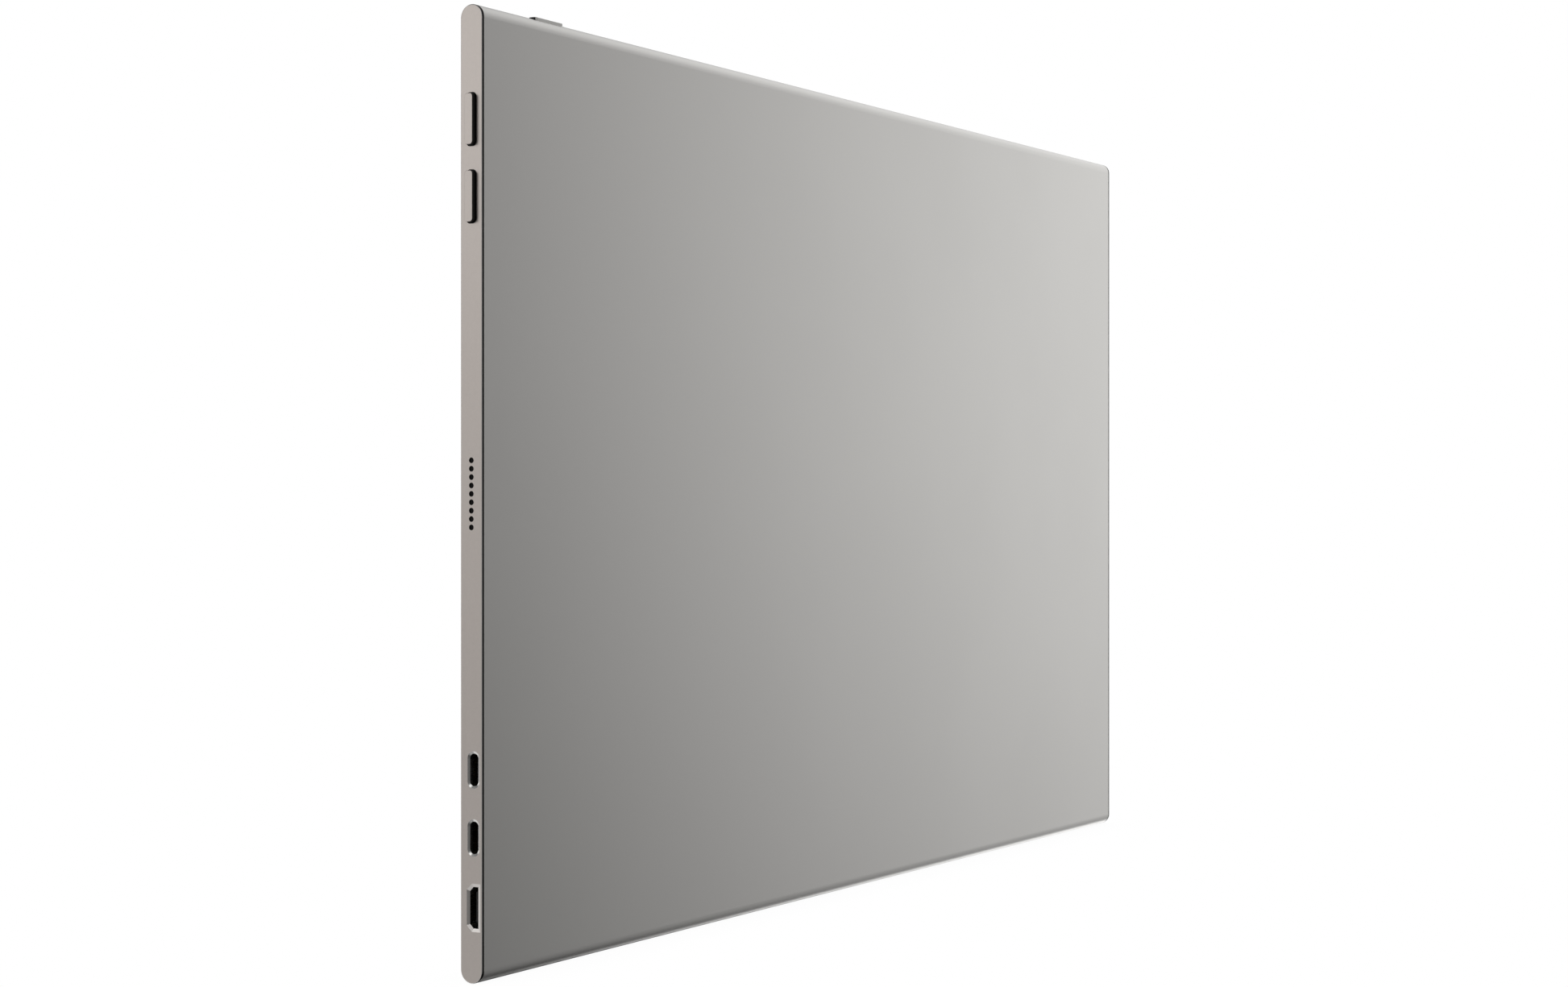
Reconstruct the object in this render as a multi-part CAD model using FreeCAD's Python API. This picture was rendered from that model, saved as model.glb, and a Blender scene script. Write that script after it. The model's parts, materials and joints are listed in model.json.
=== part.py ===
import FreeCAD, Part
import math
import os

# A thin portable monitor, modelled upright: +X to the port side, +Y to the back, +Z up.
# The origin is the centre of the flat back face. All sizes are in millimetres.

# Display panel and the borders around it
ACTIVE_WIDTH = 381.9
ACTIVE_HEIGHT = 214.8
SIDE_BEZEL = 8.55
TOP_BEZEL = 9.0
CHIN = 27.2
MODULE_SIDE = 1.5
MODULE_TOP = 2.0
MODULE_FOOT = 8.0
FLEX_LEDGE = 1.6

# Layers from the front glass to the back wall
GLASS_RECESS = 0.05
GLASS_T = 0.55
GLASS_EDGE = 0.25
BOND_T = 0.10
CELL_T = 0.70
FILM_T = 0.25
GUIDE_T = 0.40
REFLECTOR_T = 0.10
TRAY_T = 0.20
PANEL_GAP = 0.20
PORT_HEIGHT = 3.15
PORT_BACK_GAP = 0.35
WALL = 0.80

# End closures
PLATE_T = 0.40
RIM_T = 0.40
WEB_T = 1.80
RIM_INSET = 0.20
PLATE_EDGE = 0.25
SHELL_EDGE = 0.15
PORT_BLOCK_HEIGHT = 66.0
KEY_BLOCK_HEIGHT = 62.0

# Clearances
FIT = 0.05
SEAT = 0.10
ASSEMBLY = 0.20

# Push keys
KEY_LENGTH = 13.1
KEY_WIDTH = 2.5
KEY_CORNER = 0.85
KEY_RISE = 1.35
POWER_RISE = 0.60
KEY_SOFT = 0.12
KEY_GAP = 0.40
KEY_SLIDE = 0.10
KEY_TRAVEL = 0.40
KEY_CAP_T = 0.25
POWER_CAP_SKIRT = 0.60
FLANGE_LIP = 0.70
FLANGE_T = 0.70
NIB_R = 0.80
NIB_LENGTH = 0.40
UPPER_KEY_DROP = 29.5
LOWER_KEY_DROP = 49.3
POWER_KEY_INSET = 33.0
POWER_GUIDE_LENGTH = 22.0

# Switches under the keys
SWITCH_LENGTH = 4.6
SWITCH_WIDTH = 1.6
SWITCH_DEPTH = 2.3
SWITCH_STANDOFF = 0.67
PLUNGER_R = 0.50
PLUNGER_LENGTH = 1.30

# Ports, measured up from the bottom edge
DATA_LENGTH = 8.94
DATA_DEPTH = 8.30
DATA_WALL = 0.30
DATA_BEVEL = 0.60
DATA_TONGUE_LENGTH = 6.65
DATA_TONGUE_T = 0.70
DATA_TONGUE_REACH = 4.60
UPPER_DATA_RISE = 54.8
LOWER_DATA_RISE = 37.4
VIDEO_LENGTH = 11.2
VIDEO_DEPTH = 7.90
VIDEO_WALL = 0.30
VIDEO_BEVEL = 0.85
VIDEO_CUT = 1.25
VIDEO_TONGUE_LENGTH = 8.0
VIDEO_TONGUE_T = 0.60
VIDEO_TONGUE_REACH = 4.80
VIDEO_RISE = 19.5
PORT_BASE_T = 1.80
PORT_LIP = 0.03
PORT_SETBACK = 0.05
BEVEL_DEPTH = 0.30

# Speakers
HOLE_COUNT = 9
HOLE_PITCH = 2.15
HOLE_R = 0.74
MESH_T = 0.15
MESH_MARGIN = 1.0
DUCT_WIDTH = 2.2
BOX_LENGTH = 46.0
BOX_HEIGHT = 60.0
BOX_WALL = 0.70
BOX_CORNER = 2.0
DRIVER_LENGTH = 34.0
DRIVER_WIDTH = 15.0
DRIVER_LIP = 1.0
DRIVER_LIP_T = 0.35
DRIVER_T = 2.2
CONE_MARGIN = 1.6
CONE_DIP = 0.20

# Boards
BOARD_T = 0.80
BOARD_CORNER = 1.0
BOARD_STANDOFF = 1.20
BOARD_WIDTH = 92.0
BOARD_HEIGHT = 56.0
BOARD_RISE = 8.5
BOARD_CORNER_INSET = 4.0
BOARD_PORT_INSET = 10.5
BOARD_EDGE_GAP = 0.40
NOTCH_GAP = 0.10
SMALL_BOARD_T = 0.60
KEY_BOARD_WIDTH = 10.0
KEY_BOARD_MARGIN = 9.5
POWER_BOARD_WIDTH = 20.0
POWER_BOARD_HEIGHT = 12.0
SMALL_BOARD_INSET = 3.5
DRIVER_BOARD_INSET = 40.95
DRIVER_BOARD_HEIGHT = 9.0
CONNECTOR_DEPTH = 3.6
CONNECTOR_MARGIN = 0.6

# Main board parts
CAN_SIZE = 30.0
CAN_HEIGHT = 0.90
CAN_WALL = 0.15
CAN_CORNER = 0.80
CAN_INSET = 20.0
CAN_RISE = 9.0
PROCESSOR_SIZE = 14.0
PROCESSOR_T = 0.60
PAD_MARGIN = 3.0
POWER_CHIP_SIZE = 5.0
POWER_CHIP_T = 0.80
POWER_CHIP_COUNT = 3
POWER_CHIP_PITCH = 12.0

# Frame that carries the glass
FRAME_SKIN = 0.70
FRAME_FOOT = 3.0
LEG_R = 1.0
TOP_LEG_COUNT = 5
TOP_LEG_PITCH = 72.0
SIDE_LEG_RISE = 45.0

# Screws
SCREW_R = 0.60
SCREW_HEAD_R = 1.10
SCREW_HEAD_T = 0.50
SCREW_BITE = 0.90
FRAME_SCREW_BITE = 1.80
SCREW_FLOOR = 0.15
BOSS_R = 1.40
FRAME_SCREW_COUNT = 6
FRAME_SCREW_PITCH = 64.0
HEAD_GAP = 0.10

# Ribbon cables that lie on the back wall
RIBBON_T = 0.15
KEY_RIBBON_WIDTH = 4.0
KEY_RIBBON_LANE = 4.0
LEAD_WIDTH = 2.4
LEAD_INSET = 23.0
DISPLAY_RIBBON_WIDTH = 12.0
DISPLAY_RIBBON_LENGTH = 14.4
DISPLAY_RIBBON_INSET = 8.0
PANEL_FLEX_WIDTH = 30.0
PANEL_FLEX_COUNT = 4
PANEL_FLEX_LAP = 3.5
LED_STRIP_HEIGHT = 2.0
LED_COUNT = 48
LED_LENGTH = 3.0
LED_HEIGHT = 0.60

# Overall sizes that follow
WIDTH = ACTIVE_WIDTH + 2 * SIDE_BEZEL
HEIGHT = ACTIVE_HEIGHT + TOP_BEZEL + CHIN
PANEL_STACK = GLASS_RECESS + GLASS_T + BOND_T + CELL_T + FILM_T + GUIDE_T + REFLECTOR_T + TRAY_T
THICK = PANEL_STACK + PANEL_GAP + PORT_HEIGHT + PORT_BACK_GAP + WALL
ROUND = THICK / 2

# Planes across the thickness, from the back (0) to the front
Y_INNER = -WALL
Y_MID = -ROUND
Y_GLASS = -THICK + GLASS_RECESS
Y_BOND = Y_GLASS + GLASS_T
Y_CELL = Y_BOND + BOND_T
Y_FILM = Y_CELL + CELL_T
Y_GUIDE = Y_FILM + FILM_T
Y_REFLECTOR = Y_GUIDE + GUIDE_T
Y_TRAY = Y_REFLECTOR + REFLECTOR_T
Y_PANEL_REAR = Y_TRAY + TRAY_T
Y_PORT = Y_PANEL_REAR + PANEL_GAP + PORT_HEIGHT / 2
Y_BOARD = Y_INNER - BOARD_STANDOFF
Y_BOARD_FRONT = Y_BOARD - BOARD_T
Y_SWITCH_BACK = Y_MID + SWITCH_WIDTH / 2
Y_SMALL_BOARD = Y_SWITCH_BACK + SMALL_BOARD_T
Y_RIBBON = Y_INNER - RIBBON_T

# Planes along the width
X_END = WIDTH / 2
X_PLATE = X_END - PLATE_T
X_SHELL = X_PLATE - RIM_T
X_WEB = X_SHELL - WEB_T
X_ACTIVE = ACTIVE_WIDTH / 2
X_MODULE = X_ACTIVE + MODULE_SIDE
X_DRIVER_BOARD = X_ACTIVE - DRIVER_BOARD_INSET
KEY_DEPTH = X_END - X_WEB
KEY_REACH = KEY_DEPTH + FIT + FLANGE_T + KEY_TRAVEL + ASSEMBLY
X_RAIL = X_END - KEY_REACH
X_POWER = X_END - POWER_KEY_INSET
X_BOX = X_WEB - SEAT
X_BOARD = X_WEB - BOARD_EDGE_GAP

# Planes up the height
Z_TOP = HEIGHT / 2
Z_LIP = Z_TOP - ROUND
Z_ACTIVE_TOP = Z_TOP - TOP_BEZEL
Z_ACTIVE_FOOT = CHIN - Z_TOP
Z_MODULE_TOP = Z_ACTIVE_TOP + MODULE_TOP
Z_MODULE_FOOT = Z_ACTIVE_FOOT - MODULE_FOOT
Z_TRAY_FOOT = Z_MODULE_FOOT + FLEX_LEDGE
Z_RAIL = Z_TOP - KEY_REACH
Z_UPPER_KEY = Z_TOP - UPPER_KEY_DROP
Z_LOWER_KEY = Z_TOP - LOWER_KEY_DROP
Z_UPPER_DATA = UPPER_DATA_RISE - Z_TOP
Z_LOWER_DATA = LOWER_DATA_RISE - Z_TOP
Z_VIDEO = VIDEO_RISE - Z_TOP
Z_PORT_BLOCK = PORT_BLOCK_HEIGHT - Z_TOP
Z_KEY_BLOCK = Z_TOP - KEY_BLOCK_HEIGHT
Z_BOARD = BOARD_RISE - Z_TOP
Z_BOARD_TOP = Z_BOARD + BOARD_HEIGHT

V = FreeCAD.Vector

# Planes closer than this are the same plane
SAME = 1e-6

# Origin and directions
ORIGIN = V(0, 0, 0)
ALONG_X, ALONG_Y, ALONG_Z = V(1, 0, 0), V(0, 1, 0), V(0, 0, 1)


# Basic solids

def block(x0, x1, y0, y1, z0, z1):
    """A box between three pairs of planes."""
    return Part.makeBox(x1 - x0, y1 - y0, z1 - z0, V(x0, y0, z0))


def pin(x, z, y0, y1, radius):
    """A round bar along Y from y0 to y1."""
    return Part.makeCylinder(radius, y1 - y0, V(x, y0, z), ALONG_Y)


def end_face(x, inset):
    """The monitor's end outline at x: two flats joined by half circles, drawn in by inset."""
    r = ROUND - inset
    front_low, front_high = V(x, Y_MID - r, -Z_LIP), V(x, Y_MID - r, Z_LIP)
    back_low, back_high = V(x, Y_MID + r, -Z_LIP), V(x, Y_MID + r, Z_LIP)
    crown, sole = V(x, Y_MID, Z_LIP + r), V(x, Y_MID, -Z_LIP - r)
    edges = [
        Part.LineSegment(front_low, front_high),
        Part.Arc(front_high, crown, back_high),
        Part.LineSegment(back_high, back_low),
        Part.Arc(back_low, sole, front_low),
    ]
    return Part.Face(Part.Wire([edge.toShape() for edge in edges]))


def end_prism(x0, x1, inset):
    """The end outline carried along X from x0 to x1."""
    return end_face(x0, inset).extrude(V(x1 - x0, 0, 0))


def outline(length, width, corner, height=0.0):
    """A wire of a rounded rectangle, length along X and width along Y, at a height."""
    a, b = length / 2, width / 2
    r = min(corner, b)
    diagonal = r * math.sqrt(0.5)
    edges = []
    for turn in range(4):
        along, across = (a, b) if turn % 2 == 0 else (b, a)
        start, end = V(r - along, -across, 0), V(along - r, -across, 0)
        bend = V(along - r + diagonal, r - across - diagonal, 0)
        after = V(along, r - across, 0)
        corner_edges = [Part.Arc(end, bend, after)]
        if along - r > SAME:
            corner_edges.insert(0, Part.LineSegment(start, end))
        for edge in corner_edges:
            shape = edge.toShape()
            shape.rotate(ORIGIN, ALONG_Z, 90 * turn)
            edges.append(shape)
    wire = Part.Wire(edges)
    wire.translate(V(0, 0, height))
    return wire


def video_mouth(grow, height=0.0):
    """The video port mouth: a rectangle with its two front corners cut, grown all round."""
    a = VIDEO_LENGTH / 2 + grow
    b = PORT_HEIGHT / 2 + grow
    cut = VIDEO_CUT + grow * (2 - math.sqrt(2))
    corners = [(-a, -b), (a, -b), (a, b - cut), (a - cut, b), (cut - a, b), (-a, b - cut), (-a, -b)]
    return Part.makePolygon([V(u, v, height) for u, v in corners])


def prism(wire, low, high):
    """A wire drawn on the plane 0, filled and carried from low to high."""
    solid = Part.Face(wire).extrude(V(0, 0, high - low))
    solid.translate(V(0, 0, low))
    return solid


def rim_edges(solid, axis, level):
    """The edges of a solid that lie in the plane across an axis at a level."""
    return [e for e in solid.Edges if all(abs(v.Point.dot(axis) - level) < SAME for v in e.Vertexes)]


def rounded_block(x0, x1, y0, y1, z0, z1, corner):
    """A box between three pairs of planes with its four edges along Y rounded."""
    box = block(x0, x1, y0, y1, z0, z1)
    upright = [e for e in box.Edges if abs(e.BoundBox.YLength - (y1 - y0)) < SAME]
    return box.makeFillet(corner, upright)


# Placing what is drawn outward along local Z: on the right end, or on the top edge

SIDE_TURN = FreeCAD.Matrix(0, 0, 1, 0, 0, -1, 0, 0, 1, 0, 0, 0, 0, 0, 0, 1)


def on_side(shape, y, z):
    """Turn local length to Z, local width to the front and local height out of the right end."""
    return shape.transformed(SIDE_TURN).translated(V(X_END, y, z))


def on_top(shape):
    """Place a local shape at the power key's spot on the top edge."""
    return shape.translated(V(X_POWER, Y_MID, Z_TOP))


def mirrored(shape):
    """The same piece on the left end."""
    return shape.mirror(ORIGIN, ALONG_X)


# Shell and bosses

def board_screw_spots():
    """Where the main board is screwed down, as (x, z)."""
    left = X_BOARD - BOARD_WIDTH + BOARD_CORNER_INSET
    right = X_BOARD - BOARD_PORT_INSET
    heights = (Z_BOARD + BOARD_CORNER_INSET, Z_BOARD_TOP - BOARD_CORNER_INSET)
    return [(x, z) for x in (left, right) for z in heights]


def key_board_box():
    """The key board's extent as x0, x1, z0, z1."""
    x0 = X_RAIL - KEY_BOARD_WIDTH
    return x0, X_RAIL, Z_LOWER_KEY - KEY_BOARD_MARGIN, Z_UPPER_KEY + KEY_BOARD_MARGIN


def power_board_box():
    """The power key board's extent as x0, x1, z0, z1."""
    half = POWER_BOARD_WIDTH / 2
    return X_POWER - half, X_POWER + half, Z_RAIL - POWER_BOARD_HEIGHT, Z_RAIL


def small_board_screw_spots():
    """Where the two key boards are screwed down, as (x, z)."""
    kx0, kx1, kz0, kz1 = key_board_box()
    px0, px1, pz0, pz1 = power_board_box()
    lane = kx0 + SMALL_BOARD_INSET
    middle = (kz0 + kz1) / 2
    low = pz0 + SMALL_BOARD_INSET
    power = [(x, low) for x in (px0 + SMALL_BOARD_INSET, px1 - SMALL_BOARD_INSET)]
    return [(lane, middle), (lane, kz1 - BOSS_R)] + power


def frame_screw_spots():
    """Where the glass frame is screwed down along its lower rail, as (x, z)."""
    first = -FRAME_SCREW_PITCH * (FRAME_SCREW_COUNT - 1) / 2
    height = -Z_RAIL + FRAME_FOOT / 2
    return [(first + FRAME_SCREW_PITCH * i, height) for i in range(FRAME_SCREW_COUNT)]


def leg_spots():
    """Where the glass frame's other rails stand on the back wall, as (x, z)."""
    first = -TOP_LEG_PITCH * (TOP_LEG_COUNT - 1) / 2
    top = (Z_MODULE_TOP + ASSEMBLY + Z_RAIL) / 2
    side = (X_MODULE + ASSEMBLY + X_RAIL) / 2
    spots = [(first + TOP_LEG_PITCH * i, top) for i in range(TOP_LEG_COUNT)]
    return spots + [(x, z) for x in (-side, side) for z in (-SIDE_LEG_RISE, SIDE_LEG_RISE)]


def boss(x, z, top):
    """A screw boss standing on the back wall, with its blind hole."""
    body = pin(x, z, top, Y_INNER, BOSS_R)
    hole = pin(x, z, top, Y_INNER - SCREW_FLOOR, SCREW_R + FIT)
    return body.cut(hole)


def key_slot(gap):
    """A slot through which a key passes, with a gap all round."""
    return outline(KEY_LENGTH + 2 * gap, KEY_WIDTH + 2 * gap, KEY_CORNER + gap)


def make_back_cover():
    """One-piece shell: flat back, rounded long edges, open front and ends."""
    outer = end_prism(-X_SHELL, X_SHELL, 0)
    ends = rim_edges(outer, ALONG_X, X_SHELL) + rim_edges(outer, ALONG_X, -X_SHELL)
    outer = outer.makeFillet(SHELL_EDGE, ends)
    shell = outer.cut(end_prism(-X_SHELL, X_SHELL, WALL))
    shell = shell.cut(block(-X_SHELL, X_SHELL, -THICK, Y_MID, -Z_LIP, Z_LIP))
    slot = on_top(prism(key_slot(KEY_GAP), -ROUND, ROUND))
    shell = shell.cut(slot)
    fittings = [boss(x, z, Y_BOARD) for x, z in board_screw_spots()]
    fittings += [boss(x, z, Y_SMALL_BOARD) for x, z in small_board_screw_spots()]
    fittings += [boss(x, z, Y_PANEL_REAR) for x, z in frame_screw_spots()]
    return shell.fuse(fittings).removeSplitter()


# Screen, from the front glass backwards

def make_cover_glass():
    """Front glass, edge to edge between the shell's lips, with its front edges rounded over."""
    x, z = X_SHELL - SEAT, Z_LIP - SEAT
    glass = block(-x, x, Y_GLASS, Y_BOND, -z, z)
    return glass.makeFillet(GLASS_EDGE, rim_edges(glass, ALONG_Y, Y_GLASS))


def make_mid_frame():
    """Picture frame that carries the glass: hollow lower rail for the driver board, legs on the others."""
    frame = block(-X_RAIL, X_RAIL, Y_CELL, Y_PANEL_REAR, -Z_RAIL, Z_RAIL)
    window_x = X_MODULE + ASSEMBLY
    window_low = Z_MODULE_FOOT - ASSEMBLY
    frame = frame.cut(block(-window_x, window_x, Y_CELL, Y_PANEL_REAR, window_low, Z_MODULE_TOP + ASSEMBLY))
    pocket_x = X_DRIVER_BOARD + ASSEMBLY
    pocket_foot = FRAME_FOOT - Z_RAIL
    frame = frame.cut(block(-pocket_x, pocket_x, Y_CELL + FRAME_SKIN, Y_PANEL_REAR, pocket_foot, window_low))
    for x, z in frame_screw_spots():
        frame = frame.cut(pin(x, z, Y_CELL, Y_PANEL_REAR, SCREW_R + SEAT))
        frame = frame.cut(pin(x, z, Y_CELL, Y_CELL + FRAME_SKIN, SCREW_HEAD_R + HEAD_GAP))
    legs = [pin(x, z, Y_PANEL_REAR, Y_INNER, LEG_R) for x, z in leg_spots()]
    return frame.fuse(legs).removeSplitter()


def make_glass_tape():
    """Adhesive ring between the glass and the frame, clear of the screw heads."""
    x, z = X_RAIL - ASSEMBLY, Z_RAIL - ASSEMBLY
    foot = FRAME_FOOT - Z_RAIL + ASSEMBLY
    window_x = X_MODULE + 2 * ASSEMBLY
    ring = block(-x, x, Y_BOND, Y_CELL, foot, z)
    window_low, window_top = Z_MODULE_FOOT - 2 * ASSEMBLY, Z_MODULE_TOP + 2 * ASSEMBLY
    return ring.cut(block(-window_x, window_x, Y_BOND, Y_CELL, window_low, window_top))


def panel_sheet(y0, y1, inset, foot):
    """One flat layer of the display module, drawn in at the sides and top."""
    x = X_MODULE - inset
    return block(-x, x, y0, y1, foot, Z_MODULE_TOP - inset)


def make_panel_layers():
    """The display's sheets, from the bonded cell to the reflector."""
    inside = TRAY_T + SEAT
    guide_foot = Z_TRAY_FOOT + inside + LED_STRIP_HEIGHT + SEAT
    return {
        "optical_bond": panel_sheet(Y_BOND, Y_CELL, ASSEMBLY, Z_MODULE_FOOT + ASSEMBLY),
        "lcd_cell": panel_sheet(Y_CELL, Y_FILM, 0, Z_MODULE_FOOT),
        "optical_films": panel_sheet(Y_FILM, Y_GUIDE, inside, guide_foot),
        "light_guide": panel_sheet(Y_GUIDE, Y_REFLECTOR, inside, guide_foot),
        "reflector": panel_sheet(Y_REFLECTOR, Y_TRAY, inside, Z_TRAY_FOOT + inside),
    }


def make_backlight_tray():
    """Folded sheet tray around the backlight."""
    tray = panel_sheet(Y_FILM, Y_PANEL_REAR, 0, Z_TRAY_FOOT)
    return tray.cut(panel_sheet(Y_FILM, Y_TRAY, TRAY_T, Z_TRAY_FOOT + TRAY_T))


def make_led_strip():
    """Light bar along the lower edge of the light guide, with its row of lights."""
    inside = TRAY_T + SEAT
    foot = Z_TRAY_FOOT + inside
    crown = foot + LED_STRIP_HEIGHT
    x = X_MODULE - inside
    pitch = 2 * x / LED_COUNT
    centres = [pitch * (i + 0.5) - x for i in range(LED_COUNT)]
    half = LED_LENGTH / 2
    lights = [block(c - half, c + half, Y_GUIDE, Y_REFLECTOR, crown - LED_HEIGHT, crown) for c in centres]
    strip = block(-x, x, Y_GUIDE, Y_REFLECTOR, foot, crown - LED_HEIGHT)
    return strip.fuse(lights).removeSplitter()


def driver_board_top():
    """Upper edge of the driver board, below the display module."""
    return FRAME_FOOT - Z_RAIL + ASSEMBLY + DRIVER_BOARD_HEIGHT


def make_panel_flexes():
    """Flat tails from the cell's ledge, shared out along the driver board."""
    pitch = 2 * X_DRIVER_BOARD / PANEL_FLEX_COUNT
    first = -pitch * (PANEL_FLEX_COUNT - 1) / 2
    y0 = Y_CELL + FRAME_SKIN
    half = PANEL_FLEX_WIDTH / 2
    tails = []
    for i in range(PANEL_FLEX_COUNT):
        x = first + pitch * i
        low = driver_board_top() - PANEL_FLEX_LAP
        tails.append(block(x - half, x + half, y0, y0 + BOND_T, low, Z_TRAY_FOOT - ASSEMBLY))
    return Part.makeCompound(tails)


def driver_board_faces():
    """Front and back faces of the driver board along Y."""
    front = Y_CELL + FRAME_SKIN + BOND_T
    return front, front + SMALL_BOARD_T


def make_panel_driver_board():
    """Long narrow board in the lower rail's hollow."""
    front, back = driver_board_faces()
    foot = FRAME_FOOT - Z_RAIL + ASSEMBLY
    return block(-X_DRIVER_BOARD, X_DRIVER_BOARD, front, back, foot, foot + DRIVER_BOARD_HEIGHT)


# End closures

def end_closure():
    """Moulding that plugs the shell's right end, with its rim showing as a dark line."""
    rim = end_prism(X_SHELL, X_PLATE, RIM_INSET)
    web = end_prism(X_WEB, X_SHELL, WALL + SEAT)
    return rim.fuse(web).removeSplitter()


def speaker_row_length():
    """Length of the row of speaker holes, edge to edge."""
    return HOLE_PITCH * (HOLE_COUNT - 1) + 2 * HOLE_R


def speaker_passage():
    """Duct through the closure, and the shallow seat of the dust mesh."""
    row = speaker_row_length()
    duct = prism(outline(row, DUCT_WIDTH, DUCT_WIDTH / 2), -KEY_DEPTH, -PLATE_T)
    seat_length, seat_width = row + 2 * MESH_MARGIN, DUCT_WIDTH + 2 * MESH_MARGIN
    seat = prism(outline(seat_length, seat_width, MESH_MARGIN), -PLATE_T - MESH_T, -PLATE_T)
    return on_side(duct.fuse(seat), Y_MID, 0)


def make_speaker_mesh():
    """Dust mesh strip behind the speaker holes."""
    length = speaker_row_length() + 2 * MESH_MARGIN - 2 * FIT
    width = DUCT_WIDTH + 2 * MESH_MARGIN - 2 * FIT
    return on_side(prism(outline(length, width, MESH_MARGIN - FIT), -PLATE_T - MESH_T, -PLATE_T), Y_MID, 0)


def port_passages():
    """Windows that the three receptacles stand in."""
    data = outline(DATA_LENGTH + 2 * FIT, PORT_HEIGHT + 2 * FIT, PORT_HEIGHT)
    video = video_mouth(FIT)
    places = ((data, Z_UPPER_DATA), (data, Z_LOWER_DATA), (video, Z_VIDEO))
    return [on_side(prism(wire, -KEY_DEPTH, -PLATE_T), Y_PORT, z) for wire, z in places]


def make_right_blocks():
    """The right closure in three mouldings: ports below, speaker in the middle, keys above."""
    closure = end_closure()
    everywhere = (X_WEB, X_END, -THICK, 0)
    low = closure.common(block(*everywhere, -Z_TOP, Z_PORT_BLOCK))
    middle = closure.common(block(*everywhere, Z_PORT_BLOCK, Z_KEY_BLOCK))
    high = closure.common(block(*everywhere, Z_KEY_BLOCK, Z_TOP))
    for passage in port_passages():
        low = low.cut(passage)
    for z in (Z_UPPER_KEY, Z_LOWER_KEY):
        high = high.cut(on_side(prism(key_slot(KEY_SLIDE), -KEY_DEPTH, -PLATE_T), Y_MID, z))
    return {
        "right_port_block": low,
        "right_speaker_block": middle.cut(speaker_passage()),
        "right_key_block": high,
    }


def make_left_end_frame():
    """The left closure in one moulding."""
    return mirrored(end_closure().cut(speaker_passage()))


def plain_side_plate():
    """End plate with a softened outer edge and the row of speaker holes."""
    plate = end_prism(X_PLATE, X_END, 0)
    plate = plate.makeFillet(PLATE_EDGE, rim_edges(plate, ALONG_X, X_END))
    first = -HOLE_PITCH * (HOLE_COUNT - 1) / 2
    for i in range(HOLE_COUNT):
        centre = V(X_PLATE, Y_MID, first + HOLE_PITCH * i)
        plate = plate.cut(Part.makeCylinder(HOLE_R, PLATE_T, centre, ALONG_X))
    return plate


def port_mouth(wire_at, wall, bevel_width):
    """A port's hole through the plate, as wide as the receptacle's opening, with a bevel round it.

    wire_at gives the receptacle's outline grown and raised, and wall is the receptacle's own wall.
    """
    opening = PORT_LIP - wall
    hole = prism(wire_at(opening, 0.0), -PLATE_T, 0)
    floor = wire_at(opening, -BEVEL_DEPTH)
    bevel = Part.makeLoft([floor, wire_at(opening + bevel_width, 0.0)], True, True)
    return hole.fuse(bevel)


def data_mouth(grow, height):
    """The data port mouth, grown all round, at a height."""
    return outline(DATA_LENGTH + 2 * grow, PORT_HEIGHT + 2 * grow, PORT_HEIGHT, height)


def make_right_side_plate():
    """End plate with bevelled port mouths and two key slots."""
    plate = plain_side_plate()
    data = port_mouth(data_mouth, DATA_WALL, DATA_BEVEL)
    video = port_mouth(video_mouth, VIDEO_WALL, VIDEO_BEVEL)
    for mouth, z in ((data, Z_UPPER_DATA), (data, Z_LOWER_DATA), (video, Z_VIDEO)):
        plate = plate.cut(on_side(mouth, Y_PORT, z))
    for z in (Z_UPPER_KEY, Z_LOWER_KEY):
        plate = plate.cut(on_side(prism(key_slot(KEY_GAP), -PLATE_T, 0), Y_MID, z))
    return plate


# Ports

def receptacle(wire_at, depth, wall, tongue_length, tongue_t, tongue_reach):
    """A port's metal shell, closed at the rear, and the tongue moulding inside it."""
    mouth = -PLATE_T - PORT_SETBACK
    rear = mouth - depth
    shell = prism(wire_at(0, 0), rear, mouth).cut(prism(wire_at(-wall, 0), rear + wall, mouth))
    base_top = rear + wall + PORT_BASE_T
    base = prism(wire_at(-wall - FIT, 0), rear + wall, base_top)
    half, t = tongue_length / 2, tongue_t / 2
    tip = base_top + tongue_reach
    tongue = block(-half, half, -t, t, base_top, tip)
    nose = [e for e in tongue.Edges if abs(e.CenterOfMass.z - tip) < SAME]
    tongue = tongue.makeChamfer(t / 2, nose)
    return shell, base.fuse(tongue).removeSplitter()


def make_ports():
    """The three receptacles in their places."""
    data = receptacle(data_mouth, DATA_DEPTH, DATA_WALL, DATA_TONGUE_LENGTH, DATA_TONGUE_T, DATA_TONGUE_REACH)
    video = receptacle(
        video_mouth, VIDEO_DEPTH, VIDEO_WALL, VIDEO_TONGUE_LENGTH, VIDEO_TONGUE_T, VIDEO_TONGUE_REACH
    )
    places = (
        ("upper_data_port", data, Z_UPPER_DATA),
        ("lower_data_port", data, Z_LOWER_DATA),
        ("video_port", video, Z_VIDEO),
    )
    nodes = {}
    for name, (shell, tongue), z in places:
        nodes[name + "_shell"] = on_side(shell, Y_PORT, z)
        nodes[name + "_tongue"] = on_side(tongue, Y_PORT, z)
    return nodes


# Keys and switches, drawn with local height out of the surface that they stand in

def key_body(top):
    """Moulded key: shaft up to top, flange that holds it in, and a nib that bears on the plunger."""
    flange_top = -KEY_DEPTH - FIT
    flange_foot = flange_top - FLANGE_T
    shaft = prism(key_slot(0), flange_top, top)
    flange = prism(key_slot(FLANGE_LIP), flange_foot, flange_top)
    nib = Part.makeCylinder(NIB_R, NIB_LENGTH, V(0, 0, flange_foot - NIB_LENGTH))
    return shaft.fuse([flange, nib]).removeSplitter()


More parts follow.
